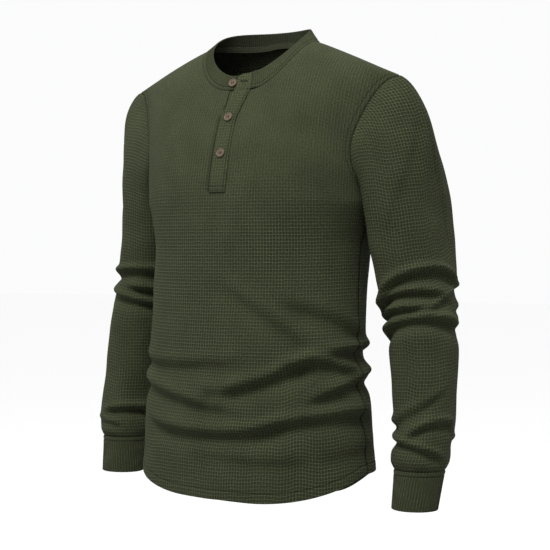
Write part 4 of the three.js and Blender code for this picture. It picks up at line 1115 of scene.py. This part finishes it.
def flat_disc_with_holes(radius, holes, hole_radius, thick):
    """A round plate with holes through it, in mm, lying on the XY plane."""
    curve = bpy.data.curves.new("plate", "CURVE")
    curve.dimensions = "2D"
    curve.fill_mode = "BOTH"
    curve.extrude = thick / 2 - 0.25
    curve.bevel_depth = 0.25
    curve.bevel_resolution = 2
    for x, y, r, count in [(0, 0, radius, 48)] + [(x, y, hole_radius, 14) for x, y in holes]:
        spline = curve.splines.new("POLY")
        spline.points.add(count - 1)
        for k, point in enumerate(spline.points):
            a = 2 * math.pi * k / count
            point.co = (x + r * math.cos(a), y + r * math.sin(a), 0, 1)
        spline.use_cyclic_u = True
    plate = new_object("plate", curve)
    bpy.context.view_layer.update()
    mesh = bpy.data.meshes.new_from_object(plate.evaluated_get(bpy.context.evaluated_depsgraph_get()))
    points = np.array([v.co for v in mesh.vertices])
    faces = [list(p.vertices) for p in mesh.polygons]
    bpy.data.objects.remove(plate)
    return points + [0, 0, thick / 2], faces


def turned(profile, count):
    """A ring turned from a closed profile of (radius, height), in mm."""
    radius, height = profile.T
    a = np.linspace(0, 2 * math.pi, count, endpoint=False)[:, None]
    points = np.stack([np.cos(a) * radius, np.sin(a) * radius, np.tile(height, (count, 1))], -1)
    size = len(radius)
    around = [(i * size, (i + 1) % count * size) for i in range(count)]
    along = [(k, (k + 1) % size) for k in range(size)]
    faces = [[i + k, j + k, j + m, i + m] for i, j in around for k, m in along]
    return points.reshape(-1, 3), faces


def button(name, node):
    """A button in the place of its CAD node, whose flat back gives its own frame, and its thread bars."""
    corners = np.array([v.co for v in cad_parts[node].data.vertices]) * 1000
    middle = corners.mean(0)
    _, _, axes = np.linalg.svd(corners - middle)
    out = axes[2] if axes[2][1] < 0 else -axes[2]
    up = np.array([0, 0, 1.0])
    up -= out * (up @ out)
    up /= np.linalg.norm(up)
    sideways = np.cross(up, out)
    back_level = ((corners - middle) @ out).min()

    def in_place(points):
        return (middle + (points + [0, 0, back_level]) @ np.stack([sideways, up, out])) / 1000

    holes = [(BUTTON_HOLE * x, BUTTON_HOLE * y) for x, y in ((1, 1), (-1, 1), (-1, -1), (1, -1))]
    plate, plate_faces = flat_disc_with_holes(BUTTON_RADIUS - 0.3, holes, 0.95, 1.9)
    a = np.linspace(0, 2 * math.pi, 12, endpoint=False)
    profile = np.stack([BUTTON_RADIUS + BUTTON_RIM * (np.cos(a) - 1), 1.35 + 1.2 * np.sin(a)], -1)
    rim, rim_faces = turned(profile, 48)
    points = np.concatenate([plate, rim])
    faces = plate_faces + [[k + len(plate) for k in face] for face in rim_faces]
    made = mesh_object(name, in_place(points), faces, points[:, :2] / 1000, sharp=40)
    a = np.linspace(0, math.pi, 13)[:, None]
    height = 1.1 + 1.35 * np.sin(a) ** 0.6
    bars = [
        in_place(np.concatenate([np.full_like(a, x), 1.75 * np.cos(a), height], 1))
        for x in (-BUTTON_HOLE, BUTTON_HOLE)
    ]
    return made, bars


def grained(name, colour):
    """Polished brown wood or coconut with short darker streaks and pale flecks along one way."""
    material, tree, shader, place = new_material(name)
    drawn_out = {0: place, 1: (1.0, 0.25, 1)}
    stretched = shader_node(tree, "VectorMath", drawn_out, operation="MULTIPLY").outputs[0]
    streaks = spread(tree, noise(tree, stretched, 1500.0, 4.0).outputs[0], 0.3, 1.7)
    clouds = spread(tree, noise(tree, place, 260.0).outputs[0], 0.6, 1.4)
    shade = math_node(tree, "MULTIPLY", streaks, clouds)
    tinted = shader_node(tree, "VectorMath", {0: colour, 3: shade}, operation="SCALE").outputs[0]
    tree.links.new(tinted, shader.inputs["Base Color"])
    bump = shader_node(tree, "Bump", {"Height": streaks, "Distance": 0.0001, "Strength": 0.6}).outputs[0]
    tree.links.new(bump, shader.inputs["Normal"])
    shader.inputs["Roughness"].default_value = 0.42
    shader.inputs["Specular IOR Level"].default_value = 0.35
    return material


grain = grained("button_grain", BUTTON_BROWN)
thread_bars = []
for place_name in ("top", "middle", "bottom"):
    made, bars = button(place_name + "_button", "button_" + place_name)
    stands_for(made, "button_" + place_name, grain, grain)
    thread_bars += bars
dark_thread = plain("button_thread", BUTTON_THREAD, 0.8)
stitches("button_thread", "placket_upper", thread_bars, 0.5, 1.1, 0.95, dark_thread)

# Studio
# A white floor below the shirt and plain white behind it, soft light all round that is dimmer from below,
# and one large soft key light from the upper left of the photo.

bpy.ops.mesh.primitive_plane_add(size=40, location=(0, 0, -1.15))
floor = bpy.context.object
floor.name = "studio_floor"
floor.data.materials.append(plain("studio_white", (0.985, 0.985, 0.985), 1.0))
floor.visible_diffuse = False

SKY_BELOW = 0.45
world = bpy.data.worlds.new("studio")
bpy.context.scene.world = world
world.use_nodes = True
sky = world.node_tree
seen_white = shader_node(sky, "Background", {"Color": (0.97, 0.97, 0.972, 1), "Strength": 1.0}).outputs[0]
way = shader_node(sky, "TexCoord").outputs["Generated"]
height = shader_node(sky, "SeparateXYZ", {0: way}).outputs["Z"]
above = spread(sky, height, 0.72, 1.1)
near_floor = {0: height, 1: -0.15, 2: 0.0, 3: SKY_BELOW, 4: 1.0}
below = shader_node(sky, "MapRange", near_floor, clamp=True).outputs[0]
glow = math_node(sky, "MULTIPLY", above, below)
soft_light = shader_node(sky, "Background", {"Color": (1, 1, 1, 1), "Strength": glow}).outputs[0]
seen = shader_node(sky, "LightPath").outputs["Is Camera Ray"]
chosen = shader_node(sky, "MixShader", {0: seen, 1: soft_light, 2: seen_white}).outputs[0]
sky.links.new(chosen, sky.nodes["World Output"].inputs["Surface"])

KEY_PLACE = (0.25, -1.5, 1.5)
KEY_TOWARDS = (0, 0, -0.35)
light = bpy.data.lights.new("key", "AREA")
light.size = 0.9
light.energy = 58
lamp = new_object("key", light)
lamp.location = KEY_PLACE
way = np.subtract(KEY_TOWARDS, KEY_PLACE)
tip = math.acos(-way[2] / np.linalg.norm(way))
lamp.rotation_euler = (tip, 0, math.atan2(way[1], way[0]) - math.pi / 2)

# The photo was taken 32 degrees round to the wearer's left of the front, at about half the shirt's height
camera = new_object("photo_camera", bpy.data.cameras.new("photo_camera"))
camera.location = (1.2188, -1.9505, -0.312)
camera.rotation_euler = (math.radians(90), 0, math.radians(32))
camera.data.sensor_width = 36
camera.data.lens = 97.9
camera.data.shift_x = 0.018
camera.data.shift_y = -0.0455
bpy.context.scene.camera = camera
bpy.context.scene.view_settings.view_transform = "Standard"
